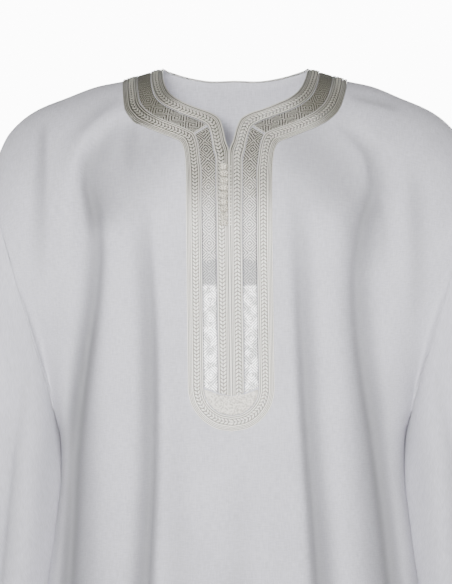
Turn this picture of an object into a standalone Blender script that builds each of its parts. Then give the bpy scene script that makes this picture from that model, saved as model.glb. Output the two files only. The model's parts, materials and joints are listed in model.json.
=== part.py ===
"""A full-length robe with wide sleeves and a corded, braided neckline and placket.

It hangs on a general standing figure with its arms at its sides. The frame has +Z up,
the robe's front faces -Y, and the origin lies midway between the neck points. The cloth
is drawn as one surface, which the panels share: `across` runs from -1 to 1 between the
armholes or side seams, and `drop` runs from 0 at the shoulder seam. Above the chest the
cloth turns over the shoulder as drop grows; below it, drop is the depth under the origin.
All sizes are in metres.
"""

import math

import bmesh
import bpy
import numpy as np

# ---- Cloth and seams ----
WALL = 0.0016
SEAM_PULL = 0.0003
TRIM_LIFT = 0.0005
COORDINATE_PLACES = 7
MOST_EVENING = 1.5

# ---- The figure's levels and the armhole ----
CHEST_DROP = 0.20
UNDERARM_DROP = 0.42
SHOULDER_END_X = 0.285
ARMHOLE_DEPTH = 0.098
CHEST_WRAP = math.radians(55)
ARMHOLE_EDGE_POWER = 16
FOLD_FADE_POWER = 12
BACK_NECK_TURN = 27.0
BACK_BAND_TURN = 46.0

# ---- The band round the neckline and down the placket ----
NECK_HALF_WIDTH = 0.085
BAND_WIDTH = 0.0497
BAND_LINES = (0.0, 0.0150, 0.0315, BAND_WIDTH)
SLIT_HALF_GAP = 0.0005
PLACKET_END_Z = -0.3795
PLACKET_CURVE_Z = -0.370
PATCH_CURVE_Z = -0.3765
PATCH_CURVE_DEPTH = 0.0120
STRAIGHT_STATIONS = 7
CURVE_STATIONS = 5
BACK_NECK_STATIONS = 5
SLIT_STATION = 13
MITRE_STATION = 8
PATCH_THICKNESS = 0.0006
# The gaps between the strips' cut ends, and round the patch, as shares of a station's step.
END_GAP = 0.012
PATCH_EDGE = 0.98

# ---- Buttons and their loops ----
BUTTON_COUNT = 9
BUTTON_TOP_Z = -0.1180
BUTTON_PITCH = 0.0079
BUTTON_OFFSET = -0.0063
BUTTON_RADII = (0.0049, 0.0033, 0.0036)
BUTTON_LOBES = 5
BUTTON_LOBE_DEPTH = 0.10
BUTTON_RINGS = 4
BRAID_TOP = 0.0020
LOOP_START = 0.0030
LOOP_REACH = 0.0080
LOOP_HALF_WIDTH = 0.0017
LOOP_CORD = 0.0007
LOOP_TURN_STEPS = 4
LOOP_SIDES = 4
SEAT_GAP = 0.0003
FRAME_STEP = 0.002

# The shoulder ridge: distance from the centre and height.
RIDGE = {
    "x": (0.0, 0.085, 0.129, 0.160, 0.195, 0.232, 0.262, 0.285),
    "z": (0.012, 0.0, -0.012, -0.0185, -0.032, -0.048, -0.074, -0.125),
}
# The body's sections below the chest: half width, and how far the middle of the front
# and of the back stand from the plane of the side seams.
SECTIONS = {
    "drop": (0.20, 0.30, 0.42, 0.44, 0.47, 0.52, 0.60, 0.80, 1.10, 1.38),
    "half_width": (0.2634, 0.2346, 0.2035, 0.2008, 0.2012, 0.2066, 0.2175, 0.2430, 0.2800, 0.3120),
    "front": (0.118, 0.127, 0.134, 0.135, 0.137, 0.140, 0.145, 0.158, 0.181, 0.206),
    "back": (0.112, 0.114, 0.109, 0.109, 0.110, 0.112, 0.118, 0.140, 0.170, 0.196),
}
# The power that squares the sections off, at the chest and from the underarm down.
CHEST_SQUARING = 0.90
BODY_SQUARING = 0.62
# Each sleeve's rings: the ring's outer end, its inner end and its half depth.
SLEEVE_RINGS = {
    "along": (0.0, 0.05, 0.12, 0.25, 0.50, 1.0),
    "top_x": (0.285, 0.2925, 0.3010, 0.3125, 0.3285, 0.352),
    "top_z": (-0.125, -0.146, -0.178, -0.240, -0.360, -0.590),
    "bottom_x": (0.2035, 0.2060, 0.2085, 0.2130, 0.2245, 0.250),
    "bottom_z": (-0.42, -0.440, -0.470, -0.520, -0.610, -0.790),
    "half_depth": (0.098, 0.098, 0.098, 0.097, 0.093, 0.082),
}
# The front's neckline and slit edge, and the band's outer edge, from the neck point down
# to where both run straight: distance from the centre and height.
FRONT_BAND = {
    "edge_x": (0.085, 0.0838, 0.0815, 0.0765, 0.0670, 0.0515, 0.0360, 0.0225,
               0.0125, 0.0085, 0.0048, SLIT_HALF_GAP),
    "edge_z": (0.0, -0.0075, -0.0165, -0.0265, -0.0350, -0.0425, -0.0485, -0.0535,
               -0.0605, -0.0700, -0.0850, -0.1006),
    "outer_x": (0.131, 0.1305, 0.1280, 0.1245, 0.1150, 0.0995, 0.0810, 0.0675,
                0.0560, 0.0515, 0.0500, BAND_WIDTH),
    "outer_z": (-0.0125, -0.0210, -0.0360, -0.0485, -0.0595, -0.0675, -0.0745, -0.0805,
                -0.0868, -0.1000, -0.1180, -0.1360),
}
BODY_CENTRE = np.array([0.0, 0.0, -0.30])
# How far the middle of each side leans sideways, at each drop. The lean fades out
# between two places on the way to the side seam.
LEAN = {
    "drop": (0.0, 0.06, 0.10, 0.14, 0.25, 0.37, 0.45, 0.60),
    "front": (0.0035, 0.001, -0.003, -0.0045, -0.0035, -0.002, -0.001, 0.0),
    "back": (0.0035, 0.0025, 0.002, 0.0015, 0.0005, 0.0, 0.0, 0.0),
}
LEAN_FADE = (0.35, 0.75)

# Folds, in rows down each fold: x is its line, depth how far it is pressed in, and inner
# and outer the widths of its flanks towards the centre and away from it.
FRONT_FOLDS = {
    "left_arm": {
        "drop": (0.13, 0.158, 0.197, 0.26, 0.32, 0.39, 0.45, 0.57, 0.90, 1.38),
        "x": (-0.162, -0.168, -0.157, -0.160, -0.168, -0.176, -0.181, -0.186, -0.214, -0.262),
        "depth": (0.0, 0.004, 0.007, 0.010, 0.013, 0.018, 0.022, 0.025, 0.026, 0.030),
        "inner": (0.014, 0.016, 0.014, 0.013, 0.014, 0.016, 0.018, 0.022, 0.026, 0.034),
        "outer": (0.018, 0.020, 0.018, 0.018, 0.017, 0.014, 0.012, 0.013, 0.018, 0.026),
    },
    "left_pleat": {
        "drop": (0.16, 0.24, 0.32, 0.42, 0.55, 0.75, 1.00, 1.38),
        "x": (-0.098, -0.093, -0.090, -0.091, -0.097, -0.106, -0.118, -0.136),
        "depth": (0.0, 0.004, 0.006, 0.007, 0.009, 0.012, 0.016, 0.024),
        "inner": (0.010, 0.008, 0.007, 0.007, 0.008, 0.011, 0.016, 0.024),
        "outer": (0.022, 0.020, 0.019, 0.019, 0.021, 0.025, 0.030, 0.036),
    },
    "right_pleat": {
        "drop": (0.15, 0.22, 0.30, 0.42, 0.55, 0.75, 1.00, 1.38),
        "x": (0.071, 0.076, 0.080, 0.086, 0.095, 0.105, 0.116, 0.133),
        "depth": (0.0, 0.005, 0.007, 0.008, 0.010, 0.013, 0.017, 0.025),
        "inner": (0.010, 0.008, 0.007, 0.007, 0.008, 0.011, 0.016, 0.024),
        "outer": (0.018, 0.018, 0.018, 0.019, 0.021, 0.025, 0.030, 0.036),
    },
    "right_arm": {
        "drop": (0.095, 0.126, 0.149, 0.167, 0.193, 0.26, 0.32, 0.385, 0.45, 0.56, 0.90, 1.38),
        "x": (0.129, 0.166, 0.170, 0.160, 0.146, 0.1425, 0.147, 0.155, 0.163, 0.177, 0.208, 0.260),
        "depth": (0.0, 0.004, 0.006, 0.007, 0.009, 0.011, 0.014, 0.018, 0.022, 0.025, 0.026, 0.030),
        "inner": (0.012, 0.012, 0.013, 0.013, 0.013, 0.013, 0.014, 0.015, 0.017, 0.021, 0.026, 0.034),
        "outer": (0.018, 0.020, 0.020, 0.020, 0.020, 0.020, 0.020, 0.019, 0.017, 0.016, 0.020, 0.028),
    },
    "centre_sweep": {
        "drop": (0.55, 0.75, 1.00, 1.38),
        "x": (0.004, 0.006, 0.004, 0.002),
        "depth": (0.0, 0.003, 0.009, 0.018),
        "inner": (0.030, 0.030, 0.032, 0.034),
        "outer": (0.030, 0.030, 0.032, 0.034),
    },
}
BACK_FOLDS = {
    "left_blade": {
        "drop": (0.13, 0.20, 0.30, 0.42, 0.60, 0.90, 1.38),
        "x": (-0.140, -0.150, -0.156, -0.158, -0.166, -0.192, -0.240),
        "depth": (0.0, 0.005, 0.010, 0.015, 0.020, 0.023, 0.030),
        "inner": (0.018, 0.018, 0.018, 0.019, 0.022, 0.028, 0.036),
        "outer": (0.020, 0.020, 0.019, 0.017, 0.020, 0.026, 0.034),
    },
    "left_middle": {
        "drop": (0.20, 0.32, 0.50, 0.75, 1.00, 1.38),
        "x": (-0.058, -0.062, -0.066, -0.074, -0.086, -0.106),
        "depth": (0.0, 0.005, 0.009, 0.013, 0.017, 0.025),
        "inner": (0.012, 0.013, 0.014, 0.018, 0.024, 0.030),
        "outer": (0.020, 0.021, 0.022, 0.026, 0.030, 0.034),
    },
    "right_middle": {
        "drop": (0.23, 0.34, 0.52, 0.75, 1.00, 1.38),
        "x": (0.040, 0.045, 0.052, 0.060, 0.068, 0.082),
        "depth": (0.0, 0.006, 0.010, 0.014, 0.018, 0.025),
        "inner": (0.013, 0.013, 0.014, 0.018, 0.024, 0.030),
        "outer": (0.020, 0.020, 0.022, 0.026, 0.030, 0.034),
    },
    "right_blade": {
        "drop": (0.12, 0.20, 0.30, 0.42, 0.60, 0.90, 1.38),
        "x": (0.132, 0.142, 0.147, 0.152, 0.165, 0.192, 0.242),
        "depth": (0.0, 0.006, 0.010, 0.015, 0.020, 0.023, 0.030),
        "inner": (0.018, 0.018, 0.018, 0.019, 0.022, 0.028, 0.036),
        "outer": (0.020, 0.020, 0.019, 0.018, 0.021, 0.026, 0.034),
    },
}
# Sleeve folds run along the arm. round is the place on the ring, 0 at its outer end and
# 1 at its inner end, below 0 on the back; width is a share of the half ring.
SLEEVE_FOLDS = {
    "front_outer": {
        "along": (0.10, 0.35, 0.65, 1.0),
        "round": (0.36, 0.32, 0.29, 0.27),
        "depth": (0.0, 0.007, 0.010, 0.012),
        "width": (0.09, 0.09, 0.10, 0.11),
    },
    "front_inner": {
        "along": (0.05, 0.30, 0.60, 1.0),
        "round": (0.60, 0.60, 0.62, 0.64),
        "depth": (0.0, 0.008, 0.011, 0.012),
        "width": (0.09, 0.10, 0.11, 0.12),
    },
    "back_outer": {
        "along": (0.12, 0.40, 0.70, 1.0),
        "round": (-0.38, -0.35, -0.33, -0.31),
        "depth": (0.0, 0.008, 0.010, 0.012),
        "width": (0.10, 0.10, 0.11, 0.12),
    },
    "back_inner": {
        "along": (0.05, 0.35, 0.65, 1.0),
        "round": (-0.66, -0.67, -0.69, -0.70),
        "depth": (0.0, 0.007, 0.010, 0.012),
        "width": (0.10, 0.10, 0.11, 0.12),
    },
}
# The raised profile of each strip of the band: distance from the neckline's edge, and
# height above the strip's underside.
INNER_BRAID = {
    "offset": (0.0004, 0.0022, 0.0044, 0.0056, 0.0084, 0.0116, 0.0128, 0.0146),
    "height": (0.0007, 0.0014, 0.0012, 0.0018, 0.0020, 0.0018, 0.0012, 0.0013),
}
RIBBON = {
    "offset": (0.0152, 0.0160, 0.0305, 0.0313),
    "height": (0.0005, 0.0009, 0.0009, 0.0005),
}
OUTER_BRAID = {
    "offset": (0.0317, 0.0334, 0.0352, 0.0364, 0.0392, 0.0420, 0.0434, 0.0464, BAND_WIDTH),
    "height": (0.0006, 0.0013, 0.0008, 0.0018, 0.0020, 0.0018, 0.0008, 0.0014, 0.0006),
}

# ---- How finely the pieces are divided ----
FRONT_ARMHOLE_CAP_ROWS = 9
BACK_ARMHOLE_CAP_ROWS = 4
BACK_CENTRE_DROPS = (0.145, 0.19, 0.245, 0.305, 0.365, UNDERARM_DROP)
SKIRT_DROPS = (0.44, 0.47, 0.515, 0.57, 0.64, 0.72, 0.81, 0.91, 1.02, 1.13, 1.25, 1.38)
SLEEVE_RING_PLACES = (0.0, 0.05, 0.12, 0.20, 0.29, 0.39, 0.50, 0.61, 0.73, 0.86, 1.0)
FOLD_FLANKS = (-1.5, 0.0, 0.9, 1.9)
LEAST_SPACING = 0.30
EVEN_UNTIL_DROP = 0.13
FOLDED_FROM_DROP = 0.22

# Looks: colour, roughness and metallic value.
CLOTH = ((0.80, 0.80, 0.79), 0.85, 0.0)
CORD = ((0.74, 0.72, 0.67), 0.45, 0.0)
WOVEN = ((0.70, 0.70, 0.68), 0.35, 0.5)
KNOT = ((0.66, 0.63, 0.55), 0.5, 0.0)


def smooth_through(places, values, at):
    """A smooth curve through the points that overshoots none of them, read at `at`."""
    places = np.asarray(places, float)
    values = np.asarray(values, float)
    at = np.clip(at, places[0], places[-1])
    step = np.diff(places)
    rise = np.diff(values) / step
    slope = np.zeros(len(places))
    slope[0], slope[-1] = rise[0], rise[-1]
    same_way = rise[:-1] * rise[1:] > 0
    mean = 2 * rise[:-1] * rise[1:] / np.where(same_way, rise[:-1] + rise[1:], 1.0)
    slope[1:-1] = np.where(same_way, mean, 0.0)
    left = np.clip(np.searchsorted(places, at, side="right") - 1, 0, len(step) - 1)
    t = (at - places[left]) / step[left]
    start = (1 + 2 * t) * (1 - t) ** 2 * values[left] + t * (1 - t) ** 2 * step[left] * slope[left]
    end = t * t * (3 - 2 * t) * values[left + 1] - t * t * (1 - t) * step[left] * slope[left + 1]
    return start + end


def column(table, name, key, at):
    return smooth_through(table[key], table[name], at)


def ease(share):
    share = np.clip(share, 0.0, 1.0)
    return share * share * (3 - 2 * share)


def mix(start, end, share):
    return start + (end - start) * share


def unit(vectors):
    return vectors / np.linalg.norm(vectors, axis=-1, keepdims=True)


# ---- The robe's surface ----


def turn_at(drop):
    """The angle that the cloth has turned down from the shoulder seam at this drop."""
    return np.clip(drop / CHEST_DROP, 0.0, 1.0) * math.pi / 2


def armhole_share(drop):
    """0 at the chest level, 1 at the underarm."""
    return np.clip((drop - CHEST_DROP) / (UNDERARM_DROP - CHEST_DROP), 0.0, 1.0)


def half_width_at(drop):
    chest = SECTIONS["half_width"][0]
    cap = SHOULDER_END_X + (chest - SHOULDER_END_X) * (1 - np.cos(turn_at(drop)))
    return np.where(drop < CHEST_DROP, cap, column(SECTIONS, "half_width", "drop", drop))


def wrap_at(drop):
    """How far round the body a half section goes."""
    return mix(CHEST_WRAP, math.pi / 2, ease(armhole_share(drop)))


def across_of(x, drop):
    """The place between the side seams of a point this far from the centre."""
    wrap = wrap_at(drop)
    return np.arcsin(np.clip(x * np.sin(wrap) / half_width_at(drop), -1, 1)) / wrap


def ridge_height(across):
    x = SHOULDER_END_X * np.sin(CHEST_WRAP * np.abs(across)) / math.sin(CHEST_WRAP)
    return smooth_through(RIDGE["x"], RIDGE["z"], x)


def drop_at(x, z):
    """The drop of a point of the surface, from its distance to the centre and its height."""
    x, z = np.asarray(x, float), np.asarray(z, float)
    drop = np.full(x.shape, CHEST_DROP / 2)
    for _ in range(8):
        ridge = ridge_height(across_of(x, drop))
        fallen = np.clip((ridge - z) / (ridge + CHEST_DROP), 0.0, 1.0)
        drop = np.arccos(1 - fallen) / (math.pi / 2) * CHEST_DROP
    return np.where(z < -CHEST_DROP, -z, drop)


def depth_at(across, drop, side):
    """How far the cloth stands from the plane of the side seams, at or below the chest."""
    drop = np.maximum(drop, CHEST_DROP)
    share = armhole_share(drop)
    wrap = wrap_at(drop)
    middle = column(SECTIONS, side, "drop", drop)
    edge = ARMHOLE_DEPTH * (1 - ease(share))
    armhole = ARMHOLE_DEPTH * np.sqrt(1 - share**2)
    bulge = np.clip((np.cos(wrap * across) - np.cos(wrap)) / (1 - np.cos(wrap)), 0.0, 1.0)
    squared = bulge ** mix(CHEST_SQUARING, BODY_SQUARING, ease(share))
    return edge + (middle - edge) * squared + (armhole - edge) * np.abs(across) ** ARMHOLE_EDGE_POWER


def fold_depth(x, across, drop, folds):
    """How far the folds press the cloth in; they fade out at the seams."""
    pressed = np.zeros(x.shape)
    for fold in folds.values():
        line = column(fold, "x", "drop", drop)
        inwards = (x - line) * np.sign(line) < 0
        inner = column(fold, "inner", "drop", drop)
        outer = column(fold, "outer", "drop", drop)
        width = np.where(inwards, inner, outer)
        depth = np.where(drop > fold["drop"][0], column(fold, "depth", "drop", drop), 0.0)
        pressed = pressed + depth * np.exp(-(((x - line) / width) ** 2))
    return pressed * (1 - np.abs(across) ** FOLD_FADE_POWER)


def robe_surface(across, drop, side):
    """Points of the cloth's outer face, on the front or the back."""
    across, drop = np.broadcast_arrays(np.asarray(across, float), np.asarray(drop, float))
    forward = -1.0 if side == "front" else 1.0
    wrap = wrap_at(drop)
    turn = turn_at(drop)
    x = half_width_at(drop) * np.sin(wrap * across) / np.sin(wrap)
    ridge = ridge_height(across)
    z = np.where(drop < CHEST_DROP, ridge - (ridge + CHEST_DROP) * (1 - np.cos(turn)), -drop)
    y = forward * depth_at(across, drop, side) * np.sin(turn)
    pressed = fold_depth(x, across, drop, FRONT_FOLDS if side == "front" else BACK_FOLDS)
    near, far = LEAN_FADE
    lean = column(LEAN, side, "drop", drop) * (1 - ease((np.abs(across) - near) / (far - near)))
    return np.stack([x + lean, y - forward * pressed * np.sin(turn), z - pressed * np.cos(turn)], axis=-1)


# ---- Grids of points on the panels ----


def front_band_places():
    """(x, drop) of the band's lines at each station, from the neck point to the placket's end."""
    drops = []
    xs = []
    for x_name, z_name, straight_x, end_z in (("edge_x", "edge_z", SLIT_HALF_GAP, PLACKET_END_Z),
                                              ("outer_x", "outer_z", BAND_WIDTH, PLACKET_CURVE_Z)):
        x = np.array(FRONT_BAND[x_name])
        z = np.array(FRONT_BAND[z_name])
        share = np.arange(1, STRAIGHT_STATIONS + 1) / STRAIGHT_STATIONS
        z = np.concatenate([z, mix(z[-1], end_z, share)])
        x = np.concatenate([x, np.full(STRAIGHT_STATIONS, straight_x)])
        drop = drop_at(x, z)
        drop[0] = 0.0
        xs.append(x)
        drops.append(drop)
    xs[0][SLIT_STATION:] = 0.0
    shares = np.array(BAND_LINES)[:, None] / BAND_WIDTH
    x = mix(xs[0], xs[1], shares)
    drop = mix(drops[0], drops[1], shares)
    x[1:3, -1] = BAND_LINES[1:3]
    drop[1, -1] = -PATCH_CURVE_Z
    drop[2, -1] = -PLACKET_CURVE_Z
    curve_x, curve_drop = band_curve_places()
    return np.hstack([x, curve_x]), np.hstack([drop, curve_drop])


def band_curve_places():
    """(x, drop) of the band's lines round the placket's lower end."""
    angle = np.arange(1, CURVE_STATIONS + 1) / CURVE_STATIONS * math.pi / 2
    x = [np.zeros(CURVE_STATIONS), BAND_LINES[1] * np.cos(angle)]
    drop = [np.full(CURVE_STATIONS, -PLACKET_END_Z), PATCH_CURVE_DEPTH * np.sin(angle) - PATCH_CURVE_Z]
    for radius in BAND_LINES[2:]:
        x.append(radius * np.cos(angle))
        drop.append(radius * np.sin(angle) - PLACKET_CURVE_Z)
    x = np.array(x)
    x[:, -1] = 0.0
    return x, np.array(drop)


def back_band_places():
    """(x, drop) of the band's lines at each station, from the neck point to the centre back."""
    angle = np.arange(BACK_NECK_STATIONS + 1) / BACK_NECK_STATIONS * math.pi / 2
    shares = np.array(BAND_LINES)[:, None] / BAND_WIDTH
    x = mix(NECK_HALF_WIDTH, FRONT_BAND["outer_x"][0], shares) * np.cos(angle)
    x[:, -1] = 0.0
    turn = mix(BACK_NECK_TURN, BACK_BAND_TURN, shares) * np.sin(angle)
    return x, turn / 90 * CHEST_DROP


def armhole_drops(rows, cap_rows):
    """The drop of each row at the armhole, closer together towards the underarm."""
    cap = np.arange(cap_rows) / cap_rows * CHEST_DROP
    share = np.arange(rows - cap_rows + 1) / (rows - cap_rows)
    return np.concatenate([cap, mix(CHEST_DROP, UNDERARM_DROP, np.sin(share * math.pi / 2))])


def row_across(start, start_drop, end_drop, folds):
    """The places of a row's points: even high up, and on the folds and their flanks lower down."""
    places = [start, None]
    for fold in folds:
        drop = mix(start_drop, end_drop, 0.5)
        for _ in range(3):
            line = np.abs(column(fold, "x", "drop", drop))
            along = np.clip((across_of(line, drop) - start) / (1 - start), 0, 1)
            drop = mix(start_drop, end_drop, along)
        for flank in FOLD_FLANKS:
            width = column(fold, "inner" if flank < 0 else "outer", "drop", drop)
            places.append(across_of(line + flank * width, drop))
        places.append(None)
    places += [None, 1.0]
    count = len(places) - 1
    known = np.array([i for i, place in enumerate(places) if place is not None])
    values = np.array([places[i] for i in known], float)
    least = start + (1 - start) * known / count * LEAST_SPACING
    most = 1 - (1 - start) * (count - known) / count * LEAST_SPACING
    values = np.minimum(np.maximum.accumulate(np.maximum(values, least)), most)
    folded = np.interp(np.arange(count + 1), known, values)
    weight = ease((start_drop - EVEN_UNTIL_DROP) / (FOLDED_FROM_DROP - EVEN_UNTIL_DROP))
    return mix(np.linspace(start, 1.0, count + 1), folded, weight)


def side_folds(folds, hand):
    """The folds that the columns of one half follow, from the centre outwards."""
    own = [fold for name, fold in folds.items() if name.startswith("left" if hand < 0 else "right")]
    return sorted(own, key=lambda fold: abs(fold["x"][-1]))


def half_panel(side, hand):
    """One half of a panel: the band's grid [line, station] and the field's grid [row, column]."""
    if side == "front":
        folds = FRONT_FOLDS
        x, drop = front_band_places()
        starts = (x[-1], drop[-1])
        cap_rows = FRONT_ARMHOLE_CAP_ROWS
    else:
        folds = BACK_FOLDS
        x, drop = back_band_places()
        centre = np.array(BACK_CENTRE_DROPS)
        starts = (np.append(x[-1], np.zeros(len(centre))), np.append(drop[-1], centre))
        cap_rows = BACK_ARMHOLE_CAP_ROWS
    band = robe_surface(hand * across_of(x, drop), drop, side)
    own_folds = side_folds(folds, hand)
    rows = []
    ends = armhole_drops(len(starts[0]) - 1, cap_rows)
    for start_x, start_drop, end_drop in zip(*starts, ends):
        start = across_of(start_x, start_drop)
        across = row_across(start, start_drop, end_drop, own_folds)
        rows.append((across, mix(start_drop, end_drop, (across - start) / (1 - start))))
    for level in SKIRT_DROPS:
        across = row_across(0.0, level, level, own_folds)
        rows.append((across, np.full(len(across), level)))
    across, drop = (np.array(part) for part in zip(*rows))
    return band, robe_surface(hand * across, drop, side), len(ends)


def sleeve_points(front_edge, back_edge, hand):
    """A sleeve's rings, the first of which is the armhole's edge."""
    loop = np.concatenate([front_edge, back_edge[-2:0:-1]])
    half = len(front_edge) - 1
    index = np.arange(len(loop))
    behind = index > half
    round_place = np.where(behind, -(len(loop) - index) / (len(loop) - half), index / half)
    start, end = front_edge[0], front_edge[-1]
    share = ((loop - start) @ (end - start)) / ((end - start) @ (end - start))
    rings = [loop]
    for along in SLEEVE_RING_PLACES[1:]:
        rings.append(sleeve_ring(along, share, loop[:, 1] / ARMHOLE_DEPTH, round_place, hand))
    return np.array(rings)


def sleeve_ring(along, share, depth_share, round_place, hand):
    """A ring that starts in the armhole's shape and becomes an ellipse along the sleeve."""
    top_x, top_z, bottom_x, bottom_z, half_depth = (
        column(SLEEVE_RINGS, name, "along", along)
        for name in ("top_x", "top_z", "bottom_x", "bottom_z", "half_depth"))
    top = np.array([hand * top_x, 0.0, top_z])
    bottom = np.array([hand * bottom_x, 0.0, bottom_z])
    angle = np.abs(round_place) * math.pi
    side = np.where(round_place >= 0, -1.0, 1.0)
    even = ease(along / 0.5)
    place = mix(share, (1 - np.cos(angle)) / 2, even)
    depth = mix(depth_share, side * np.sin(angle), even)
    ring = top + place[:, None] * (bottom - top)
    ring[:, 1] = depth * half_depth
    inwards = unit((top + bottom) / 2 - ring)
    return ring + inwards * sleeve_fold_depth(along, round_place)[:, None]


def sleeve_fold_depth(along, round_place):
    sunk = np.zeros(len(round_place))
    for fold in SLEEVE_FOLDS.values():
        if along <= fold["along"][0]:
            continue
        away = round_place - column(fold, "round", "along", along)
        width = column(fold, "width", "along", along)
        sunk += column(fold, "depth", "along", along) * np.exp(-((away / width) ** 2))
    return sunk


# ---- Walls ----


class Surface:
    """Points and faces that a wall is made from. Points that coincide are one point."""

    def __init__(self):
        self.points = []
        self.index = {}
        self.faces = []

    def add(self, point):
        key = point_key(point)
        if key not in self.index:
            self.index[key] = len(self.points)
            self.points.append(np.array(point, float))
        return self.index[key]

    def add_grid(self, grid, centre, closed=False):
        """Adds a grid's faces, all turned the way that faces away from the centre."""
        rows, columns = grid.shape[:2]
        numbers = [[self.add(point) for point in row] for row in grid]
        faces = []
        outwards = 0.0
        for r in range(rows - 1):
            for c in range(columns if closed else columns - 1):
                after = (c + 1) % columns
                corners = (numbers[r][c], numbers[r + 1][c], numbers[r + 1][after], numbers[r][after])
                face = tuple(dict.fromkeys(corners))
                if len(face) > 2:
                    faces.append(face)
                    outwards += self.face_normal(face) @ (self.points[face[0]] - centre)
        self.faces += faces if outwards > 0 else [tuple(reversed(face)) for face in faces]

    def face_normal(self, face):
        a, b, c, d = (self.points[face[i % len(face)]] for i in (0, 1, 2, -1))
        return unit(np.cross(c - a, d - b) if len(face) == 4 else np.cross(b - a, c - a))

    def point_normals(self):
        """The mean normal of the faces round each point."""
        sums = np.zeros((len(self.points), 3))
        for face in self.faces:
            normal = self.face_normal(face)
            for i in face:
                sums[i] += normal
        return sums

    def evening(self, normals):
        """How much longer than the wall's thickness each point's offset is, at a bend."""
        cosines = np.zeros(len(self.points))
        count = np.zeros(len(self.points))
        for face in self.faces:
            normal = self.face_normal(face)
            for i in face:
                cosines[i] += normal @ normals[i]
                count[i] += 1
        return np.clip(count / np.maximum(cosines, 1e-6), 1.0, MOST_EVENING)


def point_key(point):
    return tuple(np.round(np.asarray(point, float), COORDINATE_PLACES) + 0.0)


def shared_normals(groups):
    """One normal for each place, the same for all the panels that meet there."""
    total = {}
    for surfaces in groups:
        part = {}
        for surface in surfaces:
            for point, normal in zip(surface.points, surface.point_normals()):
                key = point_key(point)
                part[key] = part.get(key, 0) + normal
        for key, normal in part.items():
            total[key] = total.get(key, 0) + unit(normal)
    return {key: unit(normal) for key, normal in total.items()}


def pulled_back(surface, seam_keys):
    """The points, with those on a seam moved into their own panel to leave the seam's gap."""
    on_seam = [point_key(point) in seam_keys for point in surface.points]
    beside = {}
    across = {}
    for face in surface.faces:
        for place, i in enumerate(face):
            beside.setdefault(i, set()).update((face[place - 1], face[(place + 1) % len(face)]))
            across.setdefault(i, set()).update(face)
    moved = []
    for i, point in enumerate(surface.points):
        if on_seam[i]:
            inner = [j for j in beside[i] if not on_seam[j]] or [j for j in across[i] if not on_seam[j]]
            towards = np.mean([surface.points[j] for j in inner], axis=0) - point
            point = point + unit(towards) * SEAM_PULL
        moved.append(point)
    return moved


def triangles_of(face, points):
    """A face's triangles, split along the diagonal that lies further in."""
    if len(face) == 3:
        return [face]
    a, b, c, d = face
    normal = np.cross(points[c] - points[a], points[d] - points[b])
    if (points[a] + points[c] - points[b] - points[d]) @ normal <= 0:
        return [(a, b, c), (a, c, d)]
    return [(a, b, d), (b, c, d)]


def solid_between(name, outer, inner, faces):
    """A closed wall between two sets of points, whose faces are split in the same way."""
    build = bmesh.new()
    outside = [build.verts.new(point) for point in outer]
    inside = [build.verts.new(point) for point in inner]
    edges = {(face[i - 1], face[i]) for face in faces for i in range(len(face))}
    for face in faces:
        for triangle in triangles_of(face, outer):
            build.faces.new([outside[i] for i in triangle])
            build.faces.new([inside[i] for i in reversed(triangle)])
    for a, b in edges:
        if (b, a) in edges:
            continue
        if tuple(outer[a]) < tuple(outer[b]):
            build.faces.new([outside[b], outside[a], inside[b]])
            build.faces.new([outside[a], inside[a], inside[b]])
        else:
            build.faces.new([outside[b], outside[a], inside[a]])
            build.faces.new([outside[b], inside[a], inside[b]])
    return finish_mesh(name, build)


def finish_mesh(name, build):
    bmesh.ops.recalc_face_normals(build, faces=build.faces)
    mesh = bpy.data.meshes.new(name)
    build.to_mesh(mesh)
    build.free()
    return mesh


def place_object(name, mesh, look):
    colour, roughness, metallic = look
    material = bpy.data.materials.new(name)
    material.use_nodes = True
    shader = material.node_tree.nodes["Principled BSDF"]
    shader.inputs["Base Color"].default_value = (*colour, 1.0)
    shader.inputs["Roughness"].default_value = roughness
    shader.inputs["Metallic"].default_value = metallic
    mesh.materials.append(material)
    mesh.shade_smooth()
    mesh.set_sharp_from_angle(angle=math.radians(40))
    made = bpy.data.objects.new(name, mesh)
    bpy.context.scene.collection.objects.link(made)


def build_cloth():
    """Makes the panels and sleeves, and returns the band's points and normals on each half."""
    surfaces = {"front_panel": Surface(), "back_panel": Surface()}
    bands = {}
    for hand, label in ((-1, "left"), (1, "right")):
        armhole = []
        for side in ("front", "back"):
            band, field, armhole_rows = half_panel(side, hand)
            surfaces[side + "_panel"].add_grid(band, BODY_CENTRE)
            surfaces[side + "_panel"].add_grid(field, BODY_CENTRE)
            bands[side, hand] = band
            armhole.append(field[:armhole_rows, -1])
        rings = sleeve_points(*armhole, hand)
        surfaces[label + "_sleeve"] = Surface()
        surfaces[label + "_sleeve"].add_grid(rings, rings.mean(axis=(0, 1)), closed=True)
    body = [surfaces["front_panel"], surfaces["back_panel"]]
    normals = shared_normals([body, [surfaces["left_sleeve"]], [surfaces["right_sleeve"]]])
    keys = [{point_key(point) for point in surface.points} for surface in surfaces.values()]
    seam_keys = {key for i, own in enumerate(keys) for other in keys[:i] for key in own & other}
    for name, surface in surfaces.items():
        own = np.array([normals[point_key(point)] for point in surface.points])
        outer = np.array(pulled_back(surface, seam_keys))
        inner = outer - own * WALL * surface.evening(own)[:, None]
        place_object(name, solid_between(name, outer, inner, surface.faces), CLOTH)
    return {key: (grid, normals_on(grid, normals)) for key, grid in bands.items()}


def normals_on(grid, normals):
    return np.array([[normals[point_key(point)] for point in row] for row in grid])


# ---- Trims, made from the panels' points moved out ----


def band_course(bands, hand):
    """The band's lines on one half, from the centre back over the shoulder to the placket's end."""
    front_points, front_normals = bands["front", hand]
    back_points, back_normals = bands["back", hand]
    points = np.concatenate([back_points[:, :0:-1], front_points], axis=1)
    normals = np.concatenate([back_normals[:, :0:-1], front_normals], axis=1)
    return points, normals


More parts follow.
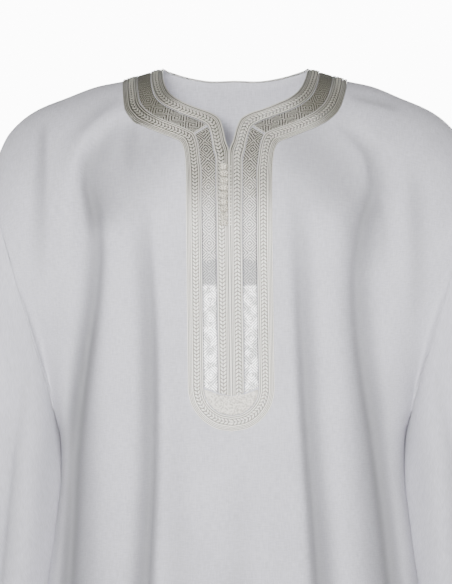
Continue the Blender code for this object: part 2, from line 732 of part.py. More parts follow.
def line_on(course, offset):
    """The points and normals of the line this far from the neckline's edge."""
    points, normals = course
    upper = next(i for i, place in enumerate(BAND_LINES[1:], 1) if offset <= place)
    share = (offset - BAND_LINES[upper - 1]) / (BAND_LINES[upper] - BAND_LINES[upper - 1])
    return (mix(points[upper - 1], points[upper], share),
            unit(mix(normals[upper - 1], normals[upper], share)))


def cut_course(course, first, last):
    """A stretch of a course. Each end is a station's number, which may be a fraction."""
    cut = []
    for rows in course:
        inside = list(range(math.floor(first) + 1, math.ceil(last)))
        ends = [mix(rows[:, math.floor(end)], rows[:, math.ceil(end)], end % 1) for end in (first, last)]
        cut.append(np.stack([ends[0], *(rows[:, i] for i in inside), ends[1]], axis=1))
    return cut


def strip_object(name, profile, course, closed, look):
    """A strip with a raised profile along a course. Its faces are split as the cloth's are."""
    section = []
    for offset, height in zip(profile["offset"], profile["height"]):
        points, normals = line_on(course, offset)
        section.append(points + normals * (TRIM_LIFT + height))
    out = normals
    for offset in (profile["offset"][-1], profile["offset"][0]):
        points, normals = line_on(course, offset)
        section.append(points + normals * TRIM_LIFT)
    build = bmesh.new()
    lines = [[build.verts.new(point) for point in line] for line in section]
    base = len(section) - 2
    length = len(lines[0])
    for i in range(length if closed else length - 1):
        j = (i + 1) % length
        near, far = section[base + 1], section[base]
        rise = near[i] + far[j] - near[j] - far[i]
        inner_diagonal = rise @ out[i] <= 0
        for k, (line, beside) in enumerate(zip(lines, lines[1:] + lines[:1])):
            corners = [line[i], beside[i], beside[j], line[j]]
            if inner_diagonal == (k == base):
                corners = corners[1:] + corners[:1]
            build.faces.new(corners[:3])
            build.faces.new([corners[0], *corners[2:]])
    if not closed:
        ends = [build.faces.new([line[i] for line in lines]) for i in (0, length - 1)]
        bmesh.ops.triangulate(build, faces=ends)
    place_object(name, finish_mesh(name, build), look)


def joined_course(left, right, closed):
    """Both halves as one course: up the left half from its last station, down the right."""
    end = -1 if closed else None
    return [np.concatenate([a[:, :0:-1], b[:, :end]], axis=1) for a, b in zip(left, right)]


def build_trims(bands):
    left, right = (band_course(bands, hand) for hand in (-1, 1))
    mitre = BACK_NECK_STATIONS + MITRE_STATION
    placket_end = BACK_NECK_STATIONS + len(FRONT_BAND["edge_x"]) - 1 + STRAIGHT_STATIONS
    strip_object("outer_braid", OUTER_BRAID, joined_course(left, right, True), True, CORD)
    to_end = [cut_course(half, 0, placket_end - END_GAP) for half in (left, right)]
    strip_object("inner_braid", INNER_BRAID, joined_course(*to_end, False), False, CORD)
    to_mitre = [cut_course(half, 0, mitre - END_GAP) for half in (left, right)]
    strip_object("neck_ribbon", RIBBON, joined_course(*to_mitre, False), False, WOVEN)
    for label, half in (("left", left), ("right", right)):
        down = cut_course(half, mitre + END_GAP, placket_end - END_GAP)
        strip_object("placket_ribbon_" + label, RIBBON, down, False, WOVEN)
    build_patch(left, right, placket_end)


def build_patch(left, right, first):
    """The half-moon of plain ribbon at the placket's lower end, inside the outer braid."""
    surface = Surface()
    normals = {}
    last = left[0].shape[1] - 1
    for half in (left, right):
        points, directions = cut_course(half, first + END_GAP, last)
        lines = [points[0], points[1], mix(points[1], points[2], PATCH_EDGE)]
        along = [directions[0], directions[1], unit(mix(directions[1], directions[2], PATCH_EDGE))]
        surface.add_grid(np.array(lines), BODY_CENTRE)
        for line, own in zip(lines, along):
            for point, normal in zip(line, own):
                normals[point_key(point)] = normals.get(point_key(point), 0) + normal
    own = unit(np.array([normals[point_key(point)] for point in surface.points]))
    base = np.array(surface.points)
    inner = base + own * TRIM_LIFT
    outer = base + own * (TRIM_LIFT + PATCH_THICKNESS)
    place_object("placket_end_patch", solid_between("placket_end_patch", outer, inner, surface.faces), WOVEN)


# ---- Buttons ----


def placket_frame(bands, z):
    """The middle of the placket at a height, and the directions sideways, down and out there."""
    heights = z + FRAME_STEP * np.array([1, 0, -1])
    sides = []
    for hand in (-1, 1):
        line = line_on(bands["front", hand], LOOP_REACH)[0][:-CURVE_STATIONS]
        sides.append(np.stack([np.interp(-heights, -line[:, 2], place) for place in line.T], axis=1))
    left, right = sides
    middle = (left + right) / 2
    sideways = unit(right[1] - left[1])
    out = unit(np.cross(middle[2] - middle[0], sideways))
    return middle[1], sideways, np.cross(sideways, out), out


def build_buttons(bands):
    """Knotted buttons on the left of the slit, each in a cord loop sewn on the right of it."""
    for number in range(BUTTON_COUNT):
        frame = placket_frame(bands, BUTTON_TOP_Z - number * BUTTON_PITCH)
        place_object(f"button_{number + 1}", button_mesh(*frame), KNOT)
        place_object(f"button_loop_{number + 1}", loop_mesh(*frame), CORD)


def button_mesh(middle, sideways, down, out):
    wide, thick, tall = BUTTON_RADII
    height = TRIM_LIFT + BRAID_TOP + 2 * SEAT_GAP + 2 * LOOP_CORD + thick
    centre = middle + sideways * BUTTON_OFFSET + out * height
    build = bmesh.new()
    bmesh.ops.create_uvsphere(build, u_segments=2 * BUTTON_LOBES, v_segments=BUTTON_RINGS, radius=1.0)
    for vertex in build.verts:
        around = math.atan2(vertex.co.y, vertex.co.x)
        lobe = 1 - BUTTON_LOBE_DEPTH * (1 - math.cos(BUTTON_LOBES * around)) / 2
        x, y, z = vertex.co
        vertex.co = centre + sideways * x * lobe * wide + down * y * lobe * tall + out * z * thick
    return finish_mesh("button", build)


def loop_mesh(middle, sideways, down, out):
    """A cord loop that lies on the braids: out from the slit's right, round and back."""
    height = TRIM_LIFT + BRAID_TOP + SEAT_GAP + LOOP_CORD
    turn = np.linspace(-math.pi / 2, math.pi / 2, LOOP_TURN_STEPS + 1)
    x = np.concatenate([[LOOP_START], -LOOP_REACH - LOOP_HALF_WIDTH * np.cos(turn), [LOOP_START]])
    y = np.concatenate([[-LOOP_HALF_WIDTH], LOOP_HALF_WIDTH * np.sin(turn), [LOOP_HALF_WIDTH]])
    course = np.stack([x, y], axis=1)
    along = unit(np.gradient(course, axis=0))
    build = bmesh.new()
    rings = []
    for (x, y), (along_x, along_y) in zip(course, along):
        aside = sideways * -along_y + down * along_x
        centre = middle + sideways * x + down * y + out * height
        angles = (np.arange(LOOP_SIDES) + 0.5) / LOOP_SIDES * 2 * math.pi
        rings.append([build.verts.new(centre + LOOP_CORD * (aside * math.cos(a) + out * math.sin(a)))
                      for a in angles])
    for ring, after in zip(rings, rings[1:]):
        for i in range(LOOP_SIDES):
            j = (i + 1) % LOOP_SIDES
            build.faces.new([ring[i], ring[j], after[j], after[i]])
    build.faces.new(rings[0])
    build.faces.new(rings[-1])
    return finish_mesh("button_loop", build)


def clear_scene():
    for made in list(bpy.data.objects):
        bpy.data.objects.remove(made, do_unlink=True)


def main():
    clear_scene()
    bands = build_cloth()
    build_trims(bands)
    build_buttons(bands)


main()
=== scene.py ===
"""The looks of a white pull-on robe with a corded, braided and ribboned neckline and placket.

The cloth is a fine shell on the solids' own surface. `across` runs from -1 to 1 between
the armholes or side seams and `drop` runs from 0 at the shoulder seam. Above the chest
the cloth turns over the shoulder as drop grows; below it, drop is the depth under the
origin. The band round the neckline follows rails, at named distances from its edge.
All sizes are in metres, apart from the tables of folds and creases, in millimetres.
"""

import json
import math

import bpy
import numpy as np
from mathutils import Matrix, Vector

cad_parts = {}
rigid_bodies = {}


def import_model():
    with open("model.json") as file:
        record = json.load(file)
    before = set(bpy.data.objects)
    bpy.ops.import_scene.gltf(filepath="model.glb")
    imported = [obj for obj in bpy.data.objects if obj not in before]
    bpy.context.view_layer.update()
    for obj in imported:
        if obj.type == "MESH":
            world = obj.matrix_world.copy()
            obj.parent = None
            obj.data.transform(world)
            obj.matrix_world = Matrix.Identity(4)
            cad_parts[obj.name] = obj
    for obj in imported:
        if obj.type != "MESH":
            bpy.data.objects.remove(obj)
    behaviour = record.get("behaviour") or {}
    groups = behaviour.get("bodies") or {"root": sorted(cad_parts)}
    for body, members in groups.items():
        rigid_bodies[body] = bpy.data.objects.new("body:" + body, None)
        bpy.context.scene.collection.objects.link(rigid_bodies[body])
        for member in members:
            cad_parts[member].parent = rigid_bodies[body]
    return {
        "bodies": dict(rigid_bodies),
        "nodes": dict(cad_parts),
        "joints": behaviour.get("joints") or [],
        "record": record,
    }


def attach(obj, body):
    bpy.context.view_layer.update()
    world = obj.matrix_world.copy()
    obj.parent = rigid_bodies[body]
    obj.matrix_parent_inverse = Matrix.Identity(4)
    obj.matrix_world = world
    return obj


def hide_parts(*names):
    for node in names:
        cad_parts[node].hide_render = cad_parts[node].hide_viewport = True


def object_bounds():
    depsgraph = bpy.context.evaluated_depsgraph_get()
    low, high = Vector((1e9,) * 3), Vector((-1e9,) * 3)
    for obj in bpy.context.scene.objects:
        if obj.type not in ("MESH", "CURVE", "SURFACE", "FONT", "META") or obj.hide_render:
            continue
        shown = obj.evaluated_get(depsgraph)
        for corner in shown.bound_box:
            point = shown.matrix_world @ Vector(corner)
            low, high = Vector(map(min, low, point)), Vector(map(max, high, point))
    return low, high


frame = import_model()
SOLID_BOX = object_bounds()

# ---- The view ----
VIEW_CENTRE = Vector((-0.008, -0.10, -0.26))
VIEW_HEIGHT = 0.672
VIEW_DISTANCE = 5.0

# ---- Cloth and seams ----
HANDS = {"left": -1, "right": 1}
SHELL = 0.0012
MERGE_PLACES = 6
BODY_CENTRE = np.array([0.0, 0.0, -0.30])
# These keep a normal's length above nothing where a grid or a rail closes to a point.
GRID_FLOOR = 1e-12
RAIL_FLOOR = 1e-15

# ---- The figure's levels and the armhole ----
CHEST_DROP = 0.20
UNDERARM_DROP = 0.42
SHOULDER_END_X = 0.285
ARMHOLE_DEPTH = 0.098
CHEST_WRAP = math.radians(55)
ARMHOLE_EDGE_POWER = 16
FOLD_FADE_POWER = 12
DROP_STEPS = 8
# How far the cloth has turned over the shoulder at the back of the neck, and at the band's
# outer edge there, in degrees.
BACK_NECK_TURN = 27.0
BACK_BAND_TURN = 46.0

# ---- The band round the neckline and down the placket ----
NECK_HALF_WIDTH = 0.085
BAND_WIDTH = 0.0497
BAND_LINES = (0.0, 0.0150, 0.0315, BAND_WIDTH)
SLIT_HALF_GAP = 0.0005
PLACKET_END_Z = -0.3795
PLACKET_CURVE_Z = -0.370
PATCH_CURVE_Z = -0.3765
PATCH_CURVE_DEPTH = 0.0120
STRAIGHT_STATIONS = 7
CURVE_STATIONS = 5
BACK_NECK_STATIONS = 5
SLIT_STATION = 13
MITRE_STATION = 8

# ---- Rails and trims: distances are from the neckline's edge ----
RAIL_PARTS = 12
RAIL_STEP = 0.001
MITRE = BACK_NECK_STATIONS + MITRE_STATION
PLACKET_END_STATION = 23
LAST_STATION = PLACKET_END_STATION + CURVE_STATIONS
END_INSET = 1 / RAIL_PARTS
TRIM_LIFT = 0.0005
GROUND_HEIGHT = 0.0006
STRIP_SPACING = 0.003
CORD_SIDES = 6
CORD_RADIUS = 0.00065
CORD_SPACING = 0.0015
CORD_SEAT = 1.9
BEAD_PITCH = 0.0030
# Each braid: the rails of its ground, its cords (each one's distance, radius, and how much
# its beads swell), the plait's distance and scale, and the station where it ends.
BRAIDS = {
    "outer_braid": {
        "ground": (0.0317, 0.0319, 0.0365, 0.0420, 0.0460, 0.0493, 0.0495),
        "cords": ((0.0324, 0.00055, 0.0), (0.0345, 0.00065, 0.0), (0.0438, 0.00070, 0.25),
                  (0.0456, 0.00045, 0.0), (0.0472, 0.00045, 0.0), (0.0489, 0.00055, 0.35)),
        "plait": 0.0390, "scale": 1.0, "last": LAST_STATION,
    },
    "inner_braid": {
        "ground": (0.0004, 0.0006, 0.0050, 0.0100, 0.0144, 0.0146),
        "cords": ((0.0003, 0.00070, 0.0), (0.0026, 0.00045, 0.0), (0.0042, 0.00050, 0.0),
                  (0.0135, 0.00070, 0.0)),
        "plait": 0.0087, "scale": 1.05, "last": PLACKET_END_STATION - END_INSET,
    },
}
BRAID_PITCH = 0.0042
BRAID_ANGLE = math.radians(34)
BRAID_LEAF = (0.0026, 0.00115, 0.00085)
BRAID_SPREAD = 0.00165
BRAID_GROUND = 0.0006
BRAID_SEAT = 0.65
LEAF_SIDES = 6
LEAF_RINGS = 6
LEAF_POWER = 2.2
LEAF_TIP = 0.04
RIBBON_OFFSETS = (0.0152, 0.0313)
RIBBON_COLUMNS = 35
RIBBON_SPACING = 0.0005
RIBBON_HEIGHT = 0.0007
RIBBON_RELIEF = 0.00022
RIBBON_EDGE = 0.0009
RIBBON_EDGE_HEIGHT = 0.0002
DIAMOND_LENGTH = 0.0215
DIAMOND_PITCH = 0.0034
STITCH_RADIUS = 0.00045
STITCH_POINTS = 9
STITCH_INSET = 0.15
PATCH_ROWS = 10
PATCH_ENDS = (0.0002, 0.0148)
PATCH_SEAM = (0.0152, 0.0158)
PATCH_RIM_ENDS = (0.0170, 0.0309)
PATCH_HEIGHT = 0.0004
PATCH_RIB = 0.0001
PATCH_RIB_PITCH = 0.0012

# ---- Buttons and their loops ----
BUTTON_COUNT = 9
BUTTON_TOP_Z = -0.1180
BUTTON_PITCH = 0.0079
BUTTON_OFFSET = -0.0063
BUTTON_RADII = (0.0054, 0.0034, 0.0039)
BUTTON_TURNS = (0.0, 1.3, 2.1, 0.6, 2.9)
KNOT_SIDES = 28
KNOT_RINGS = 17
KNOT_STRANDS = 3
KNOT_TWIST = 2.2
KNOT_RELIEF = 0.24
KNOT_SQUARENESS = 0.55
BRAID_TOP = 0.0020
LOOP_START = 0.0030
LOOP_REACH = 0.0080
LOOP_HALF_WIDTH = 0.0017
LOOP_CORD = 0.0007
LOOP_TURN_STEPS = 8
LOOP_SPACING = 0.0009
SEAT_GAP = 0.0003
FRAME_STEP = 0.002

# ---- Threads and tones ----
THREAD_PITCH = 0.0009
WEAVE_SHARE = 0.35
# How close the noise of the slubs is, across the cloth and down it, for each set of threads.
SLUB_SCALES = ((110.0, 700.0), (700.0, 90.0))
TONE_SCALE = 14.0
TONE_SHARE = 0.5
TONE_ENDS = (0.85, 1.65)
CLOTH_SHADE = (0.44, 0.435, 0.479)
CLOTH_BRIGHT = (0.58, 0.573, 0.628)
# Painted shade: the grey that the cloth's colour darkens to in its creases and folds.
CLOTH_PAINTED_SHADE = (0.16, 0.16, 0.168)
# How deep the creases press in before their painted shade is strong, and how much a wide
# fold adds to that painted shade.
PAINTED_SHADE_DEPTH = 0.008
FOLD_SHADE_SHARE = 0.25
TWIST_PITCH = 0.0016
TWIST_LEAN = 0.6
# Painted shade: the trims darken towards the shoulders, between these heights, and most at
# the corners, where the distance aside plus the height grows from the first of these to the second.
TRIM_SHADE_HEIGHTS = (-0.178, -0.110)
CORNER_SHADE_ENDS = (0.020, 0.062)
# The painted shade's edge wanders up and down by noise of this scale, this far.
SHADE_EDGE_SCALE = 30.0
SHADE_EDGE_DRIFT = 0.02
# Each trim's own light tone, and its painted shade towards the shoulders and at the corners.
CORD = {"light": (1.0, 0.97, 0.915), "shoulder_shade": (0.52, 0.498, 0.44), "corner": (0.245, 0.236, 0.195)}
GROUND = {"light": (0.27, 0.255, 0.22), "shoulder_shade": (0.06, 0.056, 0.042), "corner": (0.036, 0.034, 0.026)}
# The ribbon's threads and the gaps between them, from the placket's end up. Low down they show
# a painted reflection, mottled with dimmer patches, that turns to a darker painted reflection and
# then to the plain light tone between these heights.
THREAD = {"painted_shine": (0.95, 0.95, 0.95), "wear_and_dim_shine": (0.52, 0.52, 0.515), "dim_reflection": (0.25, 0.25, 0.25),
          "light": (0.43, 0.42, 0.405), "shoulder_shade": (0.34, 0.328, 0.288), "corner": (0.20, 0.192, 0.16)}
GAP = {"painted_shine": (0.30, 0.30, 0.30), "wear_and_dim_shine": (0.17, 0.17, 0.17), "dim_reflection": (0.08, 0.08, 0.08),
       "light": (0.095, 0.092, 0.088), "shoulder_shade": (0.028, 0.026, 0.02), "corner": (0.042, 0.04, 0.031)}
PAINTED_SHINE_ENDS = (-0.2500, -0.2540)
DIM_REFLECTION_ENDS = (-0.2200, -0.2260)
# The painted shine is mottled by noise of this scale, and its edge wanders this far.
MOTTLE_SCALE = 120.0
MOTTLE_DRIFT = 0.012
MOTTLE_ENDS = (0.42, 0.60)
WORN_SCALE = 700.0
WORN_SHARE = 5.0
THREAD_ENDS = (-0.5, 0.5)
FIBRE_SCALE = 480.0
FIBRE_ENDS = (0.35, 0.6)
STITCH = (0.56, 0.54, 0.48)
STITCH_SHADE = (0.40, 0.38, 0.33)
PATCH = (0.72, 0.685, 0.62)
PATCH_SHADE = (0.38, 0.355, 0.31)
KNOT_FUZZ_SCALE = 520.0
KNOT_FUZZ_ENDS = (0.40, 0.56)
KNOT = (0.66, 0.62, 0.53)
KNOT_GAP = (0.13, 0.115, 0.08)
FLOOR_GRAIN = 3.0
FLOOR_SHADE = (0.86, 0.86, 0.86)
FLOOR_BRIGHT = (0.89, 0.89, 0.89)

# ---- Stage and light ----
FLOOR_GAP = 0.004
FLOOR_RADIUS = 2.3
FLOOR_SIDES = 120
BACKDROP = 12.0
AMBIENT = 0.25
# Each lamp: place, the point it faces, its sides, its power, and how wide it shines in degrees.
LAMPS = {
    "key": ((-0.35, -4.0, 0.0), (0.0, 0.0, -0.27), 0.5, 12.2, 34.0),
    "fill": ((0.8, -4.0, -1.0), (0.0, 0.0, -0.60), 2.2, 8.0, 90.0),
    "rear": ((0.7, 3.6, 0.2), (0.0, 0.0, -0.60), 1.4, 84.0, 80.0),
    "left": ((-3.4, 1.3, -0.4), (0.0, 0.0, -0.60), 1.2, 20.0, 90.0),
    "right": ((3.4, 1.3, -0.4), (0.0, 0.0, -0.60), 1.2, 20.0, 90.0),
    "inside": ((0.0, 0.0, -1.1), (0.0, 0.0, 0.0), 0.2, 2.0, 120.0),
    "floor_front": ((0.0, -2.2, 1.6), (0.0, -2.2, -1.38), 1.2, 14.0, 60.0),
    "floor_rear": ((0.0, 2.0, 1.6), (0.0, 2.0, -1.38), 1.2, 34.0, 60.0),
    "floor_left": ((-2.1, 0.0, 1.6), (-2.1, 0.0, -1.38), 1.2, 34.0, 60.0),
    "floor_right": ((2.1, 0.0, 1.6), (2.1, 0.0, -1.38), 1.2, 34.0, 60.0),
}

# ---- The robe's form ----
# The shoulder ridge: distance from the centre and height.
RIDGE = {
    "x": (0.0, 0.085, 0.129, 0.160, 0.195, 0.232, 0.262, 0.285),
    "z": (0.012, 0.0, -0.012, -0.0185, -0.032, -0.048, -0.074, -0.125),
}
# The body's sections below the chest: half width, and how far the middle of the front
# and of the back stand from the plane of the side seams.
SECTIONS = {
    "drop": (0.20, 0.30, 0.42, 0.44, 0.47, 0.52, 0.60, 0.80, 1.10, 1.38),
    "half_width": (0.2634, 0.2346, 0.2035, 0.2008, 0.2012, 0.2066, 0.2175, 0.2430, 0.2800, 0.3120),
    "front": (0.118, 0.127, 0.134, 0.135, 0.137, 0.140, 0.145, 0.158, 0.181, 0.206),
    "back": (0.112, 0.114, 0.109, 0.109, 0.110, 0.112, 0.118, 0.140, 0.170, 0.196),
}
# The power that squares the sections off, at the chest and from the underarm down.
CHEST_SQUARING = 0.90
BODY_SQUARING = 0.62
# Each sleeve's rings: the ring's outer end, its inner end and its half depth.
SLEEVE_RINGS = {
    "along": (0.0, 0.05, 0.12, 0.25, 0.50, 1.0),
    "top_x": (0.285, 0.2925, 0.3010, 0.3125, 0.3285, 0.352),
    "top_z": (-0.125, -0.146, -0.178, -0.240, -0.360, -0.590),
    "bottom_x": (0.2025, 0.2005, 0.2010, 0.2055, 0.2175, 0.2435),
    "bottom_z": (-0.42, -0.440, -0.470, -0.520, -0.610, -0.790),
    "half_depth": (0.098, 0.098, 0.098, 0.097, 0.093, 0.082),
}
# The rings crowd towards the armhole by this power. Along the arm, the creases have their
# full depth from the first of these shares on, and the rings are ellipses from the second.
SLEEVE_RING_POWER = 1.15
SLEEVE_CREASE_START = 0.12
SLEEVE_EVEN_FROM = 0.5
# The front's neckline and slit edge, and the band's outer edge, from the neck point down
# to where both run straight: distance from the centre and height.
FRONT_BAND = {
    "edge_x": (0.085, 0.0838, 0.0815, 0.0765, 0.0670, 0.0515, 0.0360, 0.0225,
               0.0125, 0.0085, 0.0048, SLIT_HALF_GAP),
    "edge_z": (0.0, -0.0075, -0.0165, -0.0265, -0.0350, -0.0425, -0.0485, -0.0535,
               -0.0605, -0.0700, -0.0850, -0.1006),
    "outer_x": (0.131, 0.1305, 0.1280, 0.1245, 0.1150, 0.0995, 0.0810, 0.0675,
                0.0560, 0.0515, 0.0500, BAND_WIDTH),
    "outer_z": (-0.0125, -0.0210, -0.0360, -0.0485, -0.0595, -0.0675, -0.0745, -0.0805,
                -0.0868, -0.1000, -0.1180, -0.1360),
}
# How far the middle of each side leans sideways, at each drop. The lean fades out
# between two places on the way to the side seam.
LEAN = {
    "drop": (0.0, 0.06, 0.10, 0.14, 0.25, 0.37, 0.45, 0.60),
    "front": (0.0035, 0.001, -0.003, -0.0045, -0.0035, -0.002, -0.001, 0.0),
    "back": (0.0035, 0.0025, 0.002, 0.0015, 0.0005, 0.0, 0.0, 0.0),
}
LEAN_FADE = (0.35, 0.75)

# ---- Folds and creases ----


def metres(tables):
    """Tables of millimetres in metres. One number stands for a whole column, and width for
    both near and far."""
    made = {}
    for name, columns in tables.items():
        count = len(columns["x"])
        own = {key: np.broadcast_to(np.divide(values, 1000), count) for key, values in columns.items()}
        made[name] = {"near": own.get("width"), "far": own.get("width"), **own}
    return made


# Folds, in millimetres: x is the line of each at each drop, depth how far it is pressed in,
# and near and far the widths of its flanks towards the centre and away from it.
# A fold's depth also paints a little shade into the cloth's colour.
FRONT_FOLDS = metres({
    "left_arm": {
        "drop": (130, 158, 197, 260, 320, 390, 450, 570, 900, 1380),
        "x": (-162, -168, -157, -160, -168, -176, -181, -186, -214, -262),
        "depth": (0, 4, 7, 10, 13, 18, 22, 25, 26, 30),
        "near": (14, 16, 14, 13, 14, 16, 18, 22, 26, 34),
        "far": (18, 20, 18, 18, 17, 14, 12, 13, 18, 26),
    },
    "left_pleat": {
        "drop": (160, 240, 320, 420, 550, 750, 1000, 1380),
        "x": (-98, -93, -90, -91, -97, -106, -118, -136),
        "depth": (0, 4, 6, 7, 9, 12, 16, 24),
        "near": (10, 8, 7, 7, 8, 11, 16, 24),
        "far": (22, 20, 19, 19, 21, 25, 30, 36),
    },
    "right_pleat": {
        "drop": (150, 220, 300, 420, 550, 750, 1000, 1380),
        "x": (71, 76, 80, 86, 95, 105, 116, 133),
        "depth": (0, 5, 7, 8, 10, 13, 17, 25),
        "near": (10, 8, 7, 7, 8, 11, 16, 24),
        "far": (18, 18, 18, 19, 21, 25, 30, 36),
    },
    "right_arm": {
        "drop": (95, 126, 149, 167, 193, 260, 320, 385, 450, 560, 900, 1380),
        "x": (129, 166, 170, 160, 146, 142.5, 147, 155, 163, 177, 208, 260),
        "depth": (0, 4, 6, 7, 9, 11, 14, 18, 22, 25, 26, 30),
        "near": (12, 12, 13, 13, 13, 13, 14, 15, 17, 21, 26, 34),
        "far": (18, 20, 20, 20, 20, 20, 20, 19, 17, 16, 20, 28),
    },
    "centre_sweep": {
        "drop": (550, 750, 1000, 1380),
        "x": (4, 6, 4, 2),
        "depth": (0, 3, 9, 18),
        "width": (30, 30, 32, 34),
    },
})
BACK_FOLDS = metres({
    "left_blade": {
        "drop": (130, 200, 300, 420, 600, 900, 1380),
        "x": (-140, -150, -156, -158, -166, -192, -240),
        "depth": (0, 5, 10, 15, 20, 23, 30),
        "near": (18, 18, 18, 19, 22, 28, 36),
        "far": (20, 20, 19, 17, 20, 26, 34),
    },
    "left_middle": {
        "drop": (200, 320, 500, 750, 1000, 1380),
        "x": (-58, -62, -66, -74, -86, -106),
        "depth": (0, 5, 9, 13, 17, 25),
        "near": (12, 13, 14, 18, 24, 30),
        "far": (20, 21, 22, 26, 30, 34),
    },
    "right_middle": {
        "drop": (230, 340, 520, 750, 1000, 1380),
        "x": (40, 45, 52, 60, 68, 82),
        "depth": (0, 6, 10, 14, 18, 25),
        "near": (13, 13, 14, 18, 24, 30),
        "far": (20, 20, 22, 26, 30, 34),
    },
    "right_blade": {
        "drop": (120, 200, 300, 420, 600, 900, 1380),
        "x": (132, 142, 147, 152, 165, 192, 242),
        "depth": (0, 6, 10, 15, 20, 23, 30),
        "near": (18, 18, 18, 19, 22, 28, 36),
        "far": (20, 20, 19, 18, 21, 26, 34),
    },
})
FOLDS = {"front": FRONT_FOLDS, "back": BACK_FOLDS}
# Sleeve folds run along the arm. round is the place on the ring, 0 at its outer end and
# 1 at its inner end, below 0 on the back; width is a share of the half ring.
SLEEVE_FOLDS = {
    "front_outer": {
        "along": (0.10, 0.35, 0.65, 1.0),
        "round": (0.36, 0.32, 0.29, 0.27),
        "depth": (0.0, 0.007, 0.010, 0.012),
        "width": (0.09, 0.09, 0.10, 0.11),
    },
    "front_inner": {
        "along": (0.05, 0.30, 0.60, 1.0),
        "round": (0.60, 0.60, 0.62, 0.64),
        "depth": (0.0, 0.008, 0.011, 0.012),
        "width": (0.09, 0.10, 0.11, 0.12),
    },
    "back_outer": {
        "along": (0.12, 0.40, 0.70, 1.0),
        "round": (-0.38, -0.35, -0.33, -0.31),
        "depth": (0.0, 0.008, 0.010, 0.012),
        "width": (0.10, 0.10, 0.11, 0.12),
    },
    "back_inner": {
        "along": (0.05, 0.35, 0.65, 1.0),
        "round": (-0.66, -0.67, -0.69, -0.70),
        "depth": (0.0, 0.007, 0.010, 0.012),
        "width": (0.10, 0.10, 0.11, 0.12),
    },
}

# ---- How finely the cloth is divided ----
STATION_PARTS = 4
BACK_STATION_PARTS = 8
SKIRT_ROWS = 84
SLEEVE_RINGS_COUNT = 64
COLUMN_SHARES = np.concatenate([np.linspace(0.0, 0.975, 78), [0.983, 0.990, 0.996, 1.0]])
FRONT_ARMHOLE_CAP_ROWS = 9
BACK_ARMHOLE_CAP_ROWS = 4
BACK_CENTRE_DROPS = (0.145, 0.19, 0.245, 0.305, 0.365, UNDERARM_DROP)
WEAVE_HALF_TURN = 0.36
SLEEVE_HALF_TURN = 0.28
SLEEVE_LENGTH = 0.45
